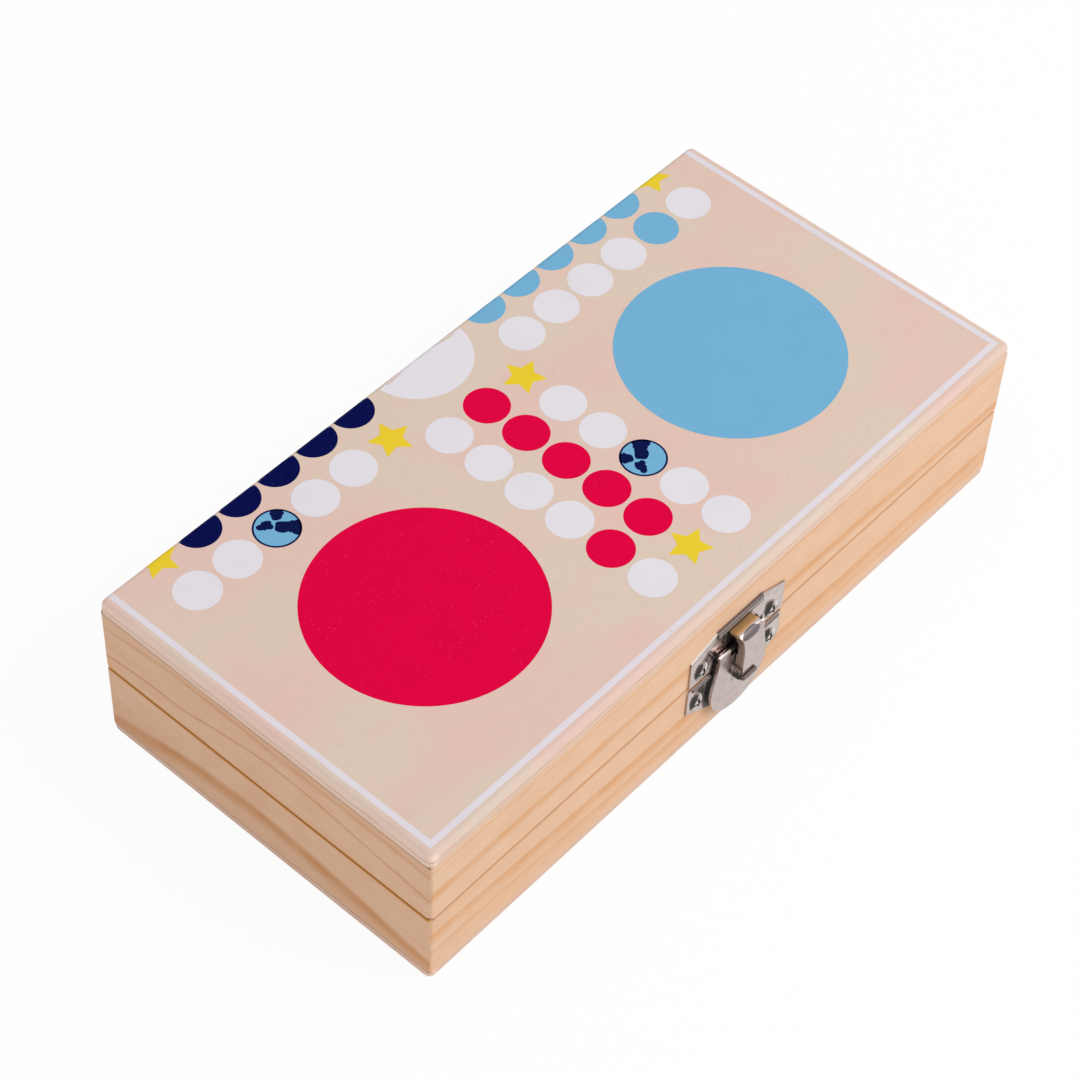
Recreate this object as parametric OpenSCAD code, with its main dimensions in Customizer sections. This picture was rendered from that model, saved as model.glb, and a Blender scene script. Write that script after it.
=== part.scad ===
// Folding ludo board box: two pine trays of equal height, hinged at the back and
// held at the front by a sheet-metal toggle latch. Closed, the printed board lies
// outside, half on the lid and half under the base. Opened flat and turned over,
// the two halves make the square board.
// Frame: X along the long side, front (latch) at -Y, Z up, origin at the middle of
// the base's underside.

/* [Box] */
// Length of the closed box
box_l = 243.4; // [210:0.2:300]
// Depth of the closed box from front to back
box_w = 120; // [110:1:150]
// Height of each half with its panel
half_h = 27.9; // [26:0.1:34]
// Gap between the two rims when the box is closed
part_gap = 0.2; // [0.1:0.05:0.4]
// Thickness of the pine rails
wall = 9; // [8.5:0.5:12]
// Thickness of the lid's plywood panel
lid_panel_t = 4.4; // [3:0.1:5.5]
// Thickness of the base's plywood panel
base_panel_t = 3; // [2.5:0.1:5.5]
// Radius of the panels' upright corners
corner_r = 2; // [1.9:0.1:6]
// Radius of the rails' upright corners
rail_corner_r = 1.2; // [1:0.1:3]
// Round-over of the lid panel's board edges
lid_edge_r = 1.8; // [0.8:0.1:1.8]
// Round-over of the base panel's board edges
base_edge_r = 1.2; // [0.8:0.1:1.6]
// Round-over of the rims at the parting line
rim_edge_r = 0.5; // [0.3:0.05:0.6]
// Radius of the ball shape that the rims' corners are sanded to
rim_ball_r = 8; // [7:0.5:10]
// How far the points of the rims' corners are sanded back
rim_ease = 1; // [0.9:0.05:1.3]

/* [Hinges] */
// Length of each hinge
hinge_l = 26; // [22:1:40]
// Distance from each end of the box to the middle of its hinge
hinge_inset = 46; // [35:1:60]
// Width of a leaf, in from the back face
leaf_w = 7; // [6.5:0.1:7.5]
// Thickness of a leaf
leaf_t = 0.8; // [0.6:0.1:1]
// Outer diameter of the knuckles
hinge_knuckle_d = 3.6; // [3:0.1:4]
// Diameter of a hinge pin
hinge_pin_d = 1.6; // [1.2:0.1:1.8]
// How far the pin's middle stands behind the back face
hinge_set = 0.3; // [0.2:0.05:0.5]
// Number of knuckles on a hinge
knuckles = 5; // [3:2:7]
// Distance between a leaf's two screws
leaf_screw_span = 15; // [12:1:15]

/* [Latch plates] */
// Width of both plates
plate_w = 40; // [38:0.5:44]
// Sheet thickness of both plates
plate_t = 0.6; // [0.5:0.05:0.7]
// Height of the short ends of both plates
plate_end_h = 11.4; // [11:0.2:12.5]
// Width of the straight far edge of both plates
plate_crown_w = 19; // [17:0.5:22]
// Height of the lid plate above the parting line
keeper_h = 15.2; // [14.8:0.1:16.5]
// Depth of the base plate below the parting line
base_plate_h = 17; // [16:0.1:17.5]
// Width of the folded hem along the lid plate's far edge
hem_w = 2.2; // [1.6:0.1:2.2]
// Width of the slot that takes the nose of the strap
slot_w = 9.8; // [9.4:0.1:10.4]
// Height of the slot
slot_h = 1.7; // [1.5:0.1:1.8]
// Diameter of the rolled bead along the base plate's top edge
bead_d = 1.9; // [1.6:0.1:2.2]
// Distance from the middle to each screw of the lid plate
keeper_screw_x = 15; // [14.6:0.1:15.6]
// Height of the lid plate's screws above the parting line
keeper_screw_z = 3.9; // [3.6:0.1:5]
// Distance from the middle to each screw of the base plate
base_screw_x = 15.7; // [15.2:0.1:16]
// Depth of the base plate's screws below the parting line
base_screw_z = 9.2; // [7.5:0.1:9.6]

/* [Lever] */
// Sheet thickness of the lever and of the strap
sheet_t = 0.6; // [0.5:0.05:0.65]
// Width of the lever at its knuckles
lever_top_w = 19.2; // [18:0.2:21]
// Width of the lever at its round end
lever_end_w = 23.6; // [22.4:0.2:24.4]
// Length of the lever from its pivot to its round end
lever_l = 27.2; // [26:0.2:27.4]
// Height of the lever's pivot above the parting line
pivot_up = 4.9; // [4.7:0.05:5.2]
// Outer diameter of the lever's knuckles
lever_knuckle_d = 1.8; // [1.7:0.05:1.9]
// Diameter of the lever's pivot pin
pivot_pin_d = 0.9; // [0.8:0.05:1]
// Width of the window that is cut and bent out of the lever
window_w = 5.8; // [5.6:0.05:6]
// Height of that window
window_h = 6.4; // [6:0.1:6.8]
// Height of the hooked tab's upturned lip
hook_lip_h = 2.25; // [1.8:0.05:2.3]

/* [Strap] */
// Width of the strap's head, where it meets the lid plate
strap_head_w = 8.8; // [8.2:0.1:9]
// Width of the strap's neck, between the lever's ears
strap_neck_w = 5.5; // [5.2:0.05:5.5]
// Distance from the lever's pivot down to the strap's pin
strap_drop = 9.3; // [9.2:0.05:9.6]
// How far the strap's pin stands in front of the lever's face
strap_pin_out = 2; // [1.9:0.05:2.2]
// Diameter of the strap's pin
strap_pin_d = 1; // [0.9:0.05:1.1]
// Radius of the strap's bend into its nose
strap_bend_r = 2.4; // [1.8:0.1:2.6]

/* [Screws] */
// Head diameter of the latch screws
latch_head_d = 6; // [5:0.1:6.2]
// Shank diameter of the latch screws
latch_shank_d = 2.4; // [2:0.1:2.8]
// Length of the latch screws
latch_screw_l = 7.5; // [6:0.5:8]
// Head diameter of the hinge screws
hinge_head_d = 3.6; // [3.2:0.1:4]
// Shank diameter of the hinge screws
hinge_shank_d = 1.8; // [1.5:0.1:2]
// Length of the hinge screws
hinge_screw_l = 7; // [5:0.5:9]

/* [Fits] */
// Radial clearance of every pin in its bore
run_clear = 0.05; // [0.03:0.01:0.08]
// Side clearance between neighbouring knuckles
side_clear = 0.15; // [0.1:0.01:0.2]
// Clearance of a let-in leaf or screw in the wood
seat_clear = 0.05; // [0.03:0.01:0.08]
// Gap between the strap's nose and the lid plate
nose_clear = 0.25; // [0.2:0.01:0.3]

/* [Hidden] */
$fn = 64;
e = 0.01;
part_z = half_h + part_gap / 2;
total_h = 2 * half_h + part_gap;
front_y = -box_w / 2;
back_y = box_w / 2;

// Hinge
hinge_y = back_y + hinge_set;
hinge_knuckle_r = hinge_knuckle_d / 2;
knuckle_pitch = hinge_l / knuckles;
barrel_clear = 0.3;
leaf_screw_setback = 0.2;
leaf_screw_y = back_y - leaf_w / 2 - leaf_screw_setback;
pin_inset = 0.1;

// Latch: distances outward from the front face and up from the parting line
lever_knuckle_r = lever_knuckle_d / 2;
plate_lift = 0.2;
pivot_out = plate_t + plate_lift + lever_knuckle_r;
face_out = pivot_out + lever_knuckle_r;
face_back = face_out - sheet_t;
tongue_out = pivot_out - lever_knuckle_r;
tongue_w = 9.7;
lever_gap = 0.15;
lever_round_r = lever_end_w / 2;
lever_round_up = pivot_up - lever_l + lever_round_r;
flange_end_up = lever_round_up - 1;
flange_top_up = pivot_up - 1.7;
notch_up = pivot_up - 2.3;
strap_pin_up = pivot_up - strap_drop;
strap_out = face_out + strap_pin_out;
web_stand = 1.1;
web_out = strap_out + web_stand;
web_back = web_out - sheet_t;
hook_gap = 0.1;
hook_inner_out = web_out + hook_gap;
hook_out = hook_inner_out + sheet_t;
hook_top_drop = 1.25;
hook_top_up = strap_pin_up - hook_top_drop;
hook_bottom_up = hook_top_up - hook_lip_h;
hook_corner_r = 0.9;
hem_roll = 0.4;
hook_w = window_w - 0.2;
window_low = hook_bottom_up + sheet_t;
ear_inset = 0.5;
ear_out = web_out - ear_inset;
ear_margin = 0.3;
ear_shoulder = 1.2;
ear_slope = 1.6;
ear_rise = 1.9;
web_low = strap_pin_up - 2.2;
strap_top_up = keeper_h - hem_w - 0.6;
nose_out = plate_t + nose_clear;
nose_dip = 0.5;
neck_up = pivot_up - 1;
head_up = strap_top_up - 1;
knuckle_room_out = face_out + 0.7;
knuckle_room_low = pivot_up - 2.9;
knuckle_room_high = pivot_up + 2.5;
nose_low_up = knuckle_room_high + 0.9;
strap_rear_out = face_out + 0.3;
strap_foot_up = strap_pin_up - 1.5;
strap_foot_cut = 0.6;
slot_up = strap_top_up - nose_dip - sheet_t / 2;
slot_pocket = 1.2;
parting_margin = 0.4;
plate_top_margin = 0.9;
bead_bore_d = 0.7;
bead_gap = 0.3;
bead_start = bell((pivot_up + plate_top_margin + bead_d) / (pivot_up - lever_round_up)) + bead_gap;
tongue_step_drop = 2.3;
tongue_step_rise = 1.4;
tongue_foot = 0.8;
tongue_land = 0.2;

// Screws: the cross recess as shares of the head's diameter
dome_h = 0.9;
recess_reach = 0.6;
recess_w = 0.14;
recess_depth = 0.2;
screw_tip_share = 0.9;
screw_point_d = 0.3;

// Upright section of a slab or rail, from its middle out to its outer face, with
// the upper outer edge rounded.
module edge_section(reach, height, r) {
    square([reach - r, height]);
    square([reach, height - r]);
    intersection() {
        translate([reach - r, height - r]) circle(r);
        translate([reach - r, height - r]) square(r);
    }
}

// Plywood panel with its board side up, standing on z = 0.
module panel_slab(panel_t, edge_r) {
    inner_l = box_l - 2 * corner_r;
    inner_w = box_w - 2 * corner_r;
    for (sx = [-1, 1], sy = [-1, 1])
        translate([sx * inner_l / 2, sy * inner_w / 2, 0])
            rotate_extrude() edge_section(corner_r, panel_t, edge_r);
    for (turn = [0, 180])
        rotate([0, 0, turn]) {
            rotate([90, 0, 90])
                linear_extrude(inner_l, center = true)
                    edge_section(box_w / 2, panel_t, edge_r);
            rotate([90, 0, 0])
                linear_extrude(inner_w, center = true)
                    edge_section(box_l / 2, panel_t, edge_r);
        }
}

// What sanding takes off the rim's two outer corners at -Y: all that lies outside a
// ball set into the corner.
module sanded_off(length, depth, rail_h) {
    inset = (rim_ball_r + rim_ease) / sqrt(3);
    for (side = [-1, 1])
        difference() {
            translate([side * length / 2, -depth / 2, rail_h])
                cube(1.2 * rim_ball_r, center = true);
            translate([side * (length / 2 - inset), inset - depth / 2, rail_h - inset])
                sphere(rim_ball_r);
        }
}

// Rail with its rim up and its outer face at -Y; length and depth are those of the
// frame that it closes. Its ends are mitred, and each carries its half of the corner.
module rail_solid(length, depth, rail_h) {
    straight = length / 2 - rail_corner_r;
    intersection() {
        translate([0, wall - depth / 2, 0])
            rotate([90, 0, -90])
                linear_extrude(2 * straight, center = true)
                    edge_section(wall, rail_h, rim_edge_r);
        linear_extrude(rail_h)
            polygon([
                [-length / 2, -depth / 2], [length / 2, -depth / 2],
                [length / 2 - wall, wall - depth / 2], [wall - length / 2, wall - depth / 2]
            ]);
    }
    for (side = [0, 1])
        mirror([side, 0, 0])
            translate([straight, rail_corner_r - depth / 2, 0])
                rotate([0, 0, -90])
                    rotate_extrude(angle = 45) edge_section(rail_corner_r, rail_h, rim_edge_r);
}

// A rail seated on its panel.
module seated_rail(length, depth, panel_t) {
    rail_h = half_h - panel_t;
    translate([0, 0, panel_t])
        difference() {
            rail_solid(length, depth, rail_h);
            sanded_off(length, depth, rail_h);
        }
}

// One of a tray's four rails; side is "front", "back", "left" or "right".
module tray_rail(side, panel_t) {
    if (side == "front") seated_rail(box_l, box_w, panel_t);
    if (side == "back") rotate([0, 0, 180]) seated_rail(box_l, box_w, panel_t);
    if (side == "left") rotate([0, 0, -90]) seated_rail(box_w, box_l, panel_t);
    if (side == "right") rotate([0, 0, 90]) seated_rail(box_w, box_l, panel_t);
}

// The lid is the base turned over onto it.
module as_lid() translate([0, 0, total_h]) mirror([0, 0, 1]) children();

// Countersunk wood screw, head up at z = 0, shank down. A grow of more than 0 is
// its hole. The raised cap and the cross recess belong to the screw alone.
module wood_screw(head_d, shank_d, length, grow = 0, raised = 0) {
    head_h = (head_d - shank_d) / 2;
    tip_h = shank_d * screw_tip_share;
    difference() {
        union() {
            translate([0, 0, -head_h])
                cylinder(h = head_h, d1 = shank_d + 2 * grow, d2 = head_d + 2 * grow);
            translate([0, 0, tip_h - length])
                cylinder(h = length - tip_h - head_h + e, d = shank_d + 2 * grow);
            translate([0, 0, -length - grow])
                cylinder(h = tip_h + grow, d1 = screw_point_d + 2 * grow, d2 = shank_d + 2 * grow);
            if (raised > 0) screw_cap(head_d, raised);
        }
        if (grow == 0) cross_recess(head_d, raised);
    }
}

module screw_cap(head_d, height) {
    ball_r = (head_d * head_d / 4 + height * height) / (2 * height);
    intersection() {
        translate([0, 0, height - ball_r]) sphere(ball_r, $fn = 96);
        cylinder(h = height + 1, d = head_d);
    }
}

module cross_recess(head_d, raised) {
    depth = recess_depth * head_d;
    for (turn = [0, 90])
        rotate([0, 0, turn])
            translate([-recess_reach * head_d / 2, -recess_w * head_d / 2, raised - depth])
                cube([recess_reach * head_d, recess_w * head_d, depth + 1]);
}

// Hinge at the box's middle; every hinge piece is drawn here and then moved.
function hinge_x(side) = side * (box_l / 2 - hinge_inset);

// Lengths of barrel that belong to one leaf: the base has the odd knuckles.
module knuckle_run(first, radius, margin) {
    for (i = [first:2:knuckles - 1])
        translate([-hinge_l / 2 + i * knuckle_pitch - margin, hinge_y, part_z])
            rotate([0, 90, 0])
                cylinder(h = knuckle_pitch + 2 * margin, r = radius);
}

module leaf_plate(z_low, grow = 0)
    translate([-hinge_l / 2 - grow, back_y - leaf_w - grow, z_low])
        cube([hinge_l + 2 * grow, leaf_w + hinge_set + grow, leaf_t]);

module leaf_screw_places(side, up)
    for (s = [-1, 1])
        translate([hinge_x(side) + s * leaf_screw_span / 2, leaf_screw_y, part_z + up * part_gap / 2])
            rotate([up > 0 ? 180 : 0, 0, 0]) children();

// up is 1 for the lid's leaf and -1 for the base's.
module hinge_leaf(side, up) {
    first = up > 0 ? 1 : 0;
    z_low = up > 0 ? half_h + part_gap : half_h - leaf_t;
    difference() {
        translate([hinge_x(side), 0, 0]) {
            difference() {
                leaf_plate(z_low);
                knuckle_run(1 - first, hinge_knuckle_r + side_clear, side_clear);
            }
            knuckle_run(first, hinge_knuckle_r, -side_clear / 2);
        }
        translate([hinge_x(side), hinge_y, part_z])
            rotate([0, 90, 0])
                cylinder(h = hinge_l + 2, r = hinge_pin_d / 2 + run_clear, center = true);
        leaf_screw_places(side, up)
            wood_screw(hinge_head_d, hinge_shank_d, hinge_screw_l, seat_clear);
    }
}

module hinge_pin(side)
    translate([hinge_x(side), hinge_y, part_z])
        rotate([0, 90, 0])
            cylinder(h = hinge_l - 2 * pin_inset, d = hinge_pin_d, center = true);

module hinge_screws(up)
    for (side = [-1, 1])
        leaf_screw_places(side, up)
            wood_screw(hinge_head_d, hinge_shank_d, hinge_screw_l);

// What the hinges need cut out of a back rail.
module hinge_cuts(up) {
    z_low = up > 0 ? half_h + part_gap - 1 : half_h - leaf_t - seat_clear;
    for (side = [-1, 1]) {
        translate([hinge_x(side) - hinge_l / 2 - seat_clear, back_y - leaf_w - seat_clear, z_low])
            cube([hinge_l + 2 * seat_clear, leaf_w + 5, leaf_t + seat_clear + 1]);
        translate([hinge_x(side), hinge_y, part_z])
            rotate([0, 90, 0])
                cylinder(h = hinge_l + 2 * barrel_clear, r = hinge_knuckle_r + barrel_clear, center = true);
        leaf_screw_places(side, up)
            wood_screw(hinge_head_d, hinge_shank_d, hinge_screw_l, seat_clear);
    }
}

// Latch frame: x across, y up from the parting line, z outward from the front face.
module on_front() translate([0, front_y, part_z]) rotate([90, 0, 0]) children();

// Section drawn with x outward and y up, extruded across the latch.
module across(width) rotate([0, -90, 0]) linear_extrude(width, center = true) children();

module latch_screw_places(x, up)
    for (s = [-1, 1])
        translate([s * x, up, plate_t]) children();

module latch_screw(grow = 0)
    wood_screw(latch_head_d, latch_shank_d, latch_screw_l, grow, grow > 0 ? 0 : dome_h);

// Half hexagon shared by both plates, far edge up.
module plate_outline(height, margin)
    polygon([
        [-plate_w / 2, margin], [plate_w / 2, margin], [plate_w / 2, plate_end_h],
        [plate_crown_w / 2, height], [-plate_crown_w / 2, height], [-plate_w / 2, plate_end_h]
    ]);

module keeper_slot(depth, out)
    translate([-slot_w / 2, slot_up - slot_h / 2, out]) cube([slot_w, slot_h, depth]);

module keeper_plate_solid()
    difference() {
        union() {
            linear_extrude(plate_t) plate_outline(keeper_h, parting_margin);
            translate([-plate_crown_w / 2, keeper_h - hem_w, plate_t - e])
                cube([plate_crown_w, hem_w - hem_roll, plate_t + e]);
            translate([-plate_crown_w / 2, keeper_h - plate_t, plate_t])
                rotate([0, 90, 0]) cylinder(h = plate_crown_w, r = plate_t);
        }
        keeper_slot(plate_t + 2, -1);
        latch_screw_places(keeper_screw_x, keeper_screw_z) latch_screw(seat_clear);
    }

// Rolled bead along one outer stretch of the base plate's top edge.
module edge_bead(side) {
    bead_len = plate_w / 2 - bead_start;
    translate([side * (bead_start + bead_len / 2), -plate_top_margin - bead_d / 2, bead_d / 2])
        rotate([0, 90, 0])
            difference() {
                cylinder(h = bead_len, d = bead_d, center = true);
                cylinder(h = bead_len + 1, d = bead_bore_d, center = true);
            }
}

// The plate's middle steps outward over the lid plate and carries the pivot.
module tongue_section() {
    step_low = -plate_top_margin - tongue_step_drop;
    bend_low = step_low + tongue_foot;
    bend_high = bend_low + tongue_step_rise;
    polygon([
        [0, step_low], [plate_t, step_low], [plate_t, bend_low],
        [tongue_out + sheet_t, bend_high], [tongue_out + sheet_t, pivot_up],
        [tongue_out, pivot_up], [tongue_out, bend_high + tongue_land], [0, bend_low + tongue_land]
    ]);
}

module base_plate_solid()
    difference() {
        union() {
            difference() {
                linear_extrude(plate_t)
                    mirror([0, 1]) plate_outline(base_plate_h, plate_top_margin + bead_d / 2);
                latch_screw_places(base_screw_x, -base_screw_z) latch_screw(seat_clear);
            }
            for (side = [-1, 1]) edge_bead(side);
            across(tongue_w) tongue_section();
            translate([0, pivot_up, pivot_out])
                rotate([0, 90, 0]) cylinder(h = tongue_w, r = lever_knuckle_r, center = true);
        }
        translate([0, pivot_up, pivot_out])
            rotate([0, 90, 0])
                cylinder(h = tongue_w + 1, r = pivot_pin_d / 2 + run_clear, center = true);
    }

// Half width of the bell-shaped lever, from its pivot (t = 0) to its round end (t = 1).
function bell(t) = lever_top_w / 2 + (lever_end_w - lever_top_w) / 2 * (1 - cos(180 * t)) / 2;

// Outline of the lever, drawn in from its edge by inset.
module lever_outline(inset) {
    steps = 8;
    run = pivot_up - lever_round_up;
    right = [for (i = [0:steps]) [bell(i / steps) - inset, pivot_up - run * i / steps]];
    left = [for (i = [steps:-1:0]) [inset - bell(i / steps), pivot_up - run * i / steps]];
    polygon(concat(right, left));
    translate([0, lever_round_up]) circle(lever_round_r - inset, $fn = 96);
}

module lever_face()
    translate([0, 0, face_back])
        linear_extrude(sheet_t)
            difference() {
                lever_outline(0);
                translate([-tongue_w / 2 - lever_gap, notch_up])
                    square([tongue_w + 2 * lever_gap, 10]);
                translate([-window_w / 2, window_low]) square([window_w, window_h]);
            }

// Side flanges that stiffen the lever and nearly reach the plate.
module lever_flanges()
    translate([0, 0, plate_t + plate_lift])
        linear_extrude(face_back - plate_t - plate_lift + e)
            intersection() {
                difference() {
                    lever_outline(0);
                    lever_outline(sheet_t);
                }
                translate([-lever_end_w, flange_end_up])
                    square([2 * lever_end_w, flange_top_up - flange_end_up]);
            }

module lever_knuckles() {
    knuckle_l = (lever_top_w - tongue_w) / 2 - lever_gap;
    for (s = [-1, 1])
        translate([s * (lever_top_w - knuckle_l) / 2, pivot_up, pivot_out])
            rotate([0, 90, 0]) cylinder(h = knuckle_l, r = lever_knuckle_r, center = true);
}

// Tab bent out of the window's lower end, with its lip turned up.
module hook_section() {
    inner_r = hook_corner_r - sheet_t;
    translate([face_back, hook_bottom_up])
        square([hook_out - hook_corner_r - face_back, sheet_t]);
    translate([hook_inner_out, hook_bottom_up + hook_corner_r])
        square([sheet_t, hook_top_up - hook_bottom_up - hook_corner_r]);
    intersection() {
        translate([hook_out - hook_corner_r, hook_bottom_up + hook_corner_r])
            difference() {
                circle(hook_corner_r);
                circle(inner_r);
            }
        translate([hook_out - hook_corner_r, hook_bottom_up]) square(hook_corner_r);
    }
}

// Ears bent out of the window's two sides; they hold the strap's pin.
module ear_section() {
    ear_low = window_low + ear_margin;
    ear_high = strap_pin_up + ear_rise;
    difference() {
        polygon([
            [face_back, ear_low], [ear_out, ear_low], [ear_out, strap_pin_up + ear_shoulder],
            [ear_out - ear_slope, ear_high], [face_back, ear_high]
        ]);
        translate([strap_out, strap_pin_up]) circle(strap_pin_d / 2 + run_clear);
    }
}

module lever_solid() {
    difference() {
        union() {
            lever_face();
            lever_flanges();
            lever_knuckles();
        }
        translate([0, pivot_up, pivot_out])
            rotate([0, 90, 0])
                cylinder(h = lever_top_w + 1, r = pivot_pin_d / 2 + run_clear, center = true);
    }
    across(hook_w) hook_section();
    for (s = [-1, 1])
        translate([s * (window_w + sheet_t) / 2, 0, 0]) across(sheet_t) ear_section();
}

// Half width of the strap: a straight neck that widens to the head.
function strap_half(t) = strap_neck_w / 2
    + (strap_head_w - strap_neck_w) / 2 * (1 - cos(90 * t));

// Front view of the strap, drawn in from its edge by inset, from low up to top.
module strap_outline(inset, low, top) {
    steps = 6;
    run = head_up - neck_up;
    right = [for (i = [0:steps]) [strap_half(i / steps) - inset, neck_up + run * i / steps]];
    left = [for (i = [steps:-1:0]) [inset - strap_half(i / steps), neck_up + run * i / steps]];
    half_head = strap_head_w / 2 - inset;
    half_neck = strap_neck_w / 2 - inset;
    polygon(concat(
        [[-half_neck, low], [half_neck, low]], right,
        [[half_head, top], [-half_head, top]], left));
}

// Side view of the strap as a solid, from its rear reach out to its front face; the
// top bends over and dips toward the lid plate.
module strap_side(inset, rear) {
    bend_out = web_out - strap_bend_r;
    bend_up = strap_top_up - strap_bend_r;
    translate([bend_out, bend_up]) circle(strap_bend_r - inset);
    translate([rear, web_low - 1]) square([web_out - inset - rear, bend_up - web_low + 1]);
    polygon([
        [rear, bend_up - 1], [bend_out, bend_up - 1], [bend_out, strap_top_up - inset],
        [rear, strap_top_up - inset - nose_dip * (bend_out - rear) / (bend_out - nose_out)]
    ]);
}

// What the strap's two flanges leave free behind: the pivot, and the lever's face.
module strap_rear_room() {
    polygon([
        [-1, web_low - 2], [web_back, web_low - 2], [web_back, strap_foot_up],
        [strap_rear_out + strap_foot_cut, strap_foot_up], [strap_rear_out, strap_foot_up + strap_foot_cut],
        [strap_rear_out, knuckle_room_low], [knuckle_room_out, knuckle_room_low + 0.5],
        [knuckle_room_out, knuckle_room_high], [nose_out, nose_low_up], [-1, nose_low_up]
    ]);
}

module strap_solid()
    difference() {
        intersection() {
            translate([0, 0, nose_out])
                linear_extrude(web_out) strap_outline(0, web_low, strap_top_up + 1);
            across(strap_head_w + 2) strap_side(0, nose_out);
        }
        intersection() {
            translate([0, 0, -1])
                linear_extrude(web_out + 2) strap_outline(sheet_t, web_low - 1, strap_top_up + 1);
            across(strap_head_w + 2) strap_side(sheet_t, nose_out - 1);
        }
        across(strap_head_w + 2) strap_rear_room();
        translate([0, strap_pin_up, strap_out])
            rotate([0, 90, 0])
                cylinder(h = strap_head_w, r = strap_pin_d / 2 + run_clear, center = true);
    }

// What the latch needs cut out of the two front rails.
module keeper_cuts()
    on_front() {
        keeper_slot(slot_pocket + 1, -slot_pocket);
        latch_screw_places(keeper_screw_x, keeper_screw_z) latch_screw(seat_clear);
    }

module base_plate_cuts()
    on_front() latch_screw_places(base_screw_x, -base_screw_z) latch_screw(seat_clear);

// The pieces
module lid_panel()
    color("burlywood")
        translate([0, 0, total_h - lid_panel_t]) panel_slab(lid_panel_t, lid_edge_r);

module base_panel()
    color("burlywood")
        translate([0, 0, base_panel_t]) mirror([0, 0, 1]) panel_slab(base_panel_t, base_edge_r);

module lid_rail_front()
    color("navajowhite")
        difference() {
            as_lid() tray_rail("front", lid_panel_t);
            keeper_cuts();
        }

module lid_rail_back()
    color("navajowhite")
        difference() {
            as_lid() tray_rail("back", lid_panel_t);
            hinge_cuts(1);
        }

module lid_rail_left() color("navajowhite") as_lid() tray_rail("left", lid_panel_t);

module lid_rail_right() color("navajowhite") as_lid() tray_rail("right", lid_panel_t);

module base_rail_front()
    color("navajowhite")
        difference() {
            tray_rail("front", base_panel_t);
            base_plate_cuts();
        }

module base_rail_back()
    color("navajowhite")
        difference() {
            tray_rail("back", base_panel_t);
            hinge_cuts(-1);
        }

module base_rail_left() color("navajowhite") tray_rail("left", base_panel_t);

module base_rail_right() color("navajowhite") tray_rail("right", base_panel_t);

module hinge_left_lid_leaf() color("silver") hinge_leaf(-1, 1);

module hinge_left_base_leaf() color("silver") hinge_leaf(-1, -1);

module hinge_left_pin() color("gray") hinge_pin(-1);

module hinge_right_lid_leaf() color("silver") hinge_leaf(1, 1);

module hinge_right_base_leaf() color("silver") hinge_leaf(1, -1);

module hinge_right_pin() color("gray") hinge_pin(1);

module lid_hinge_screws() color("gray") hinge_screws(1);

module base_hinge_screws() color("gray") hinge_screws(-1);

module latch_keeper_plate() color("silver") on_front() keeper_plate_solid();

module latch_base_plate() color("silver") on_front() base_plate_solid();

module latch_pivot_pin()
    color("gray")
        on_front()
            translate([0, pivot_up, pivot_out])
                rotate([0, 90, 0]) cylinder(h = lever_top_w, d = pivot_pin_d, center = true);

module latch_lever() color("lightgray") on_front() lever_solid();

module latch_strap_pin()
    color("gray")
        on_front()
            translate([0, strap_pin_up, strap_out])
                rotate([0, 90, 0])
                    cylinder(h = window_w + 2 * sheet_t, d = strap_pin_d, center = true);

module latch_strap() color("lightgray") on_front() strap_solid();

module keeper_screws()
    color("gray") on_front() latch_screw_places(keeper_screw_x, keeper_screw_z) latch_screw();

module latch_base_screws()
    color("gray") on_front() latch_screw_places(base_screw_x, -base_screw_z) latch_screw();

lid_panel();
lid_rail_front();
lid_rail_back();
lid_rail_left();
lid_rail_right();
base_panel();
base_rail_front();
base_rail_back();
base_rail_left();
base_rail_right();
hinge_left_lid_leaf();
hinge_left_base_leaf();
hinge_left_pin();
hinge_right_lid_leaf();
hinge_right_base_leaf();
hinge_right_pin();
lid_hinge_screws();
base_hinge_screws();
latch_keeper_plate();
latch_base_plate();
latch_pivot_pin();
latch_lever();
latch_strap_pin();
latch_strap();
keeper_screws();
latch_base_screws();
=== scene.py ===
"""Folding ludo board box: the finishes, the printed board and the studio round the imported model.

Frame: metres, X along the box, the latched front at -Y, Z up, origin under the middle of the base.
"""

from __future__ import annotations

import logging
import math
from dataclasses import dataclass, field
from enum import Enum
from itertools import product
from typing import Callable, Mapping, Sequence, Union

import bmesh
import bpy
import numpy as np
from mathutils import Matrix, Vector


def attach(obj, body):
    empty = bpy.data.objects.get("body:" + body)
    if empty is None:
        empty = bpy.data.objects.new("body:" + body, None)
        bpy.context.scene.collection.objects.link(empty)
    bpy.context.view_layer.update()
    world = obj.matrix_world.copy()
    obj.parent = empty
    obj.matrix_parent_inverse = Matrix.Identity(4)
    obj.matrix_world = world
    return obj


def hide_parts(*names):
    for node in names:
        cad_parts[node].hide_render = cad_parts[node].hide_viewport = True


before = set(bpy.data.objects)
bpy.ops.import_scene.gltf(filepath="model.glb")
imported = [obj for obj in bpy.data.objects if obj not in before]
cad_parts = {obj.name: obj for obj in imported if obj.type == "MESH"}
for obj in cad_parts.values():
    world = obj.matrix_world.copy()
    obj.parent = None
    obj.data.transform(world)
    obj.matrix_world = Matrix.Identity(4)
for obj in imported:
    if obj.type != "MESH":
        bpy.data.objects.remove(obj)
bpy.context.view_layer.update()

LOG = logging.getLogger("board_box")
MM = 0.001
BOX_MIDDLE = (0.0, 0.0, 0.02)  # the lamps look here
SEED_STEP = 0.37  # shift of the pine's noise from one rail to the next, in metres
MERGE_M = 1e-7  # points of a film that are nearer than this become one
CAD_MERGE_M = 2e-6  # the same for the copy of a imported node
TINY = 1e-6  # keeps a division from reaching zero
IMAGE_PX = 1080

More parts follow.
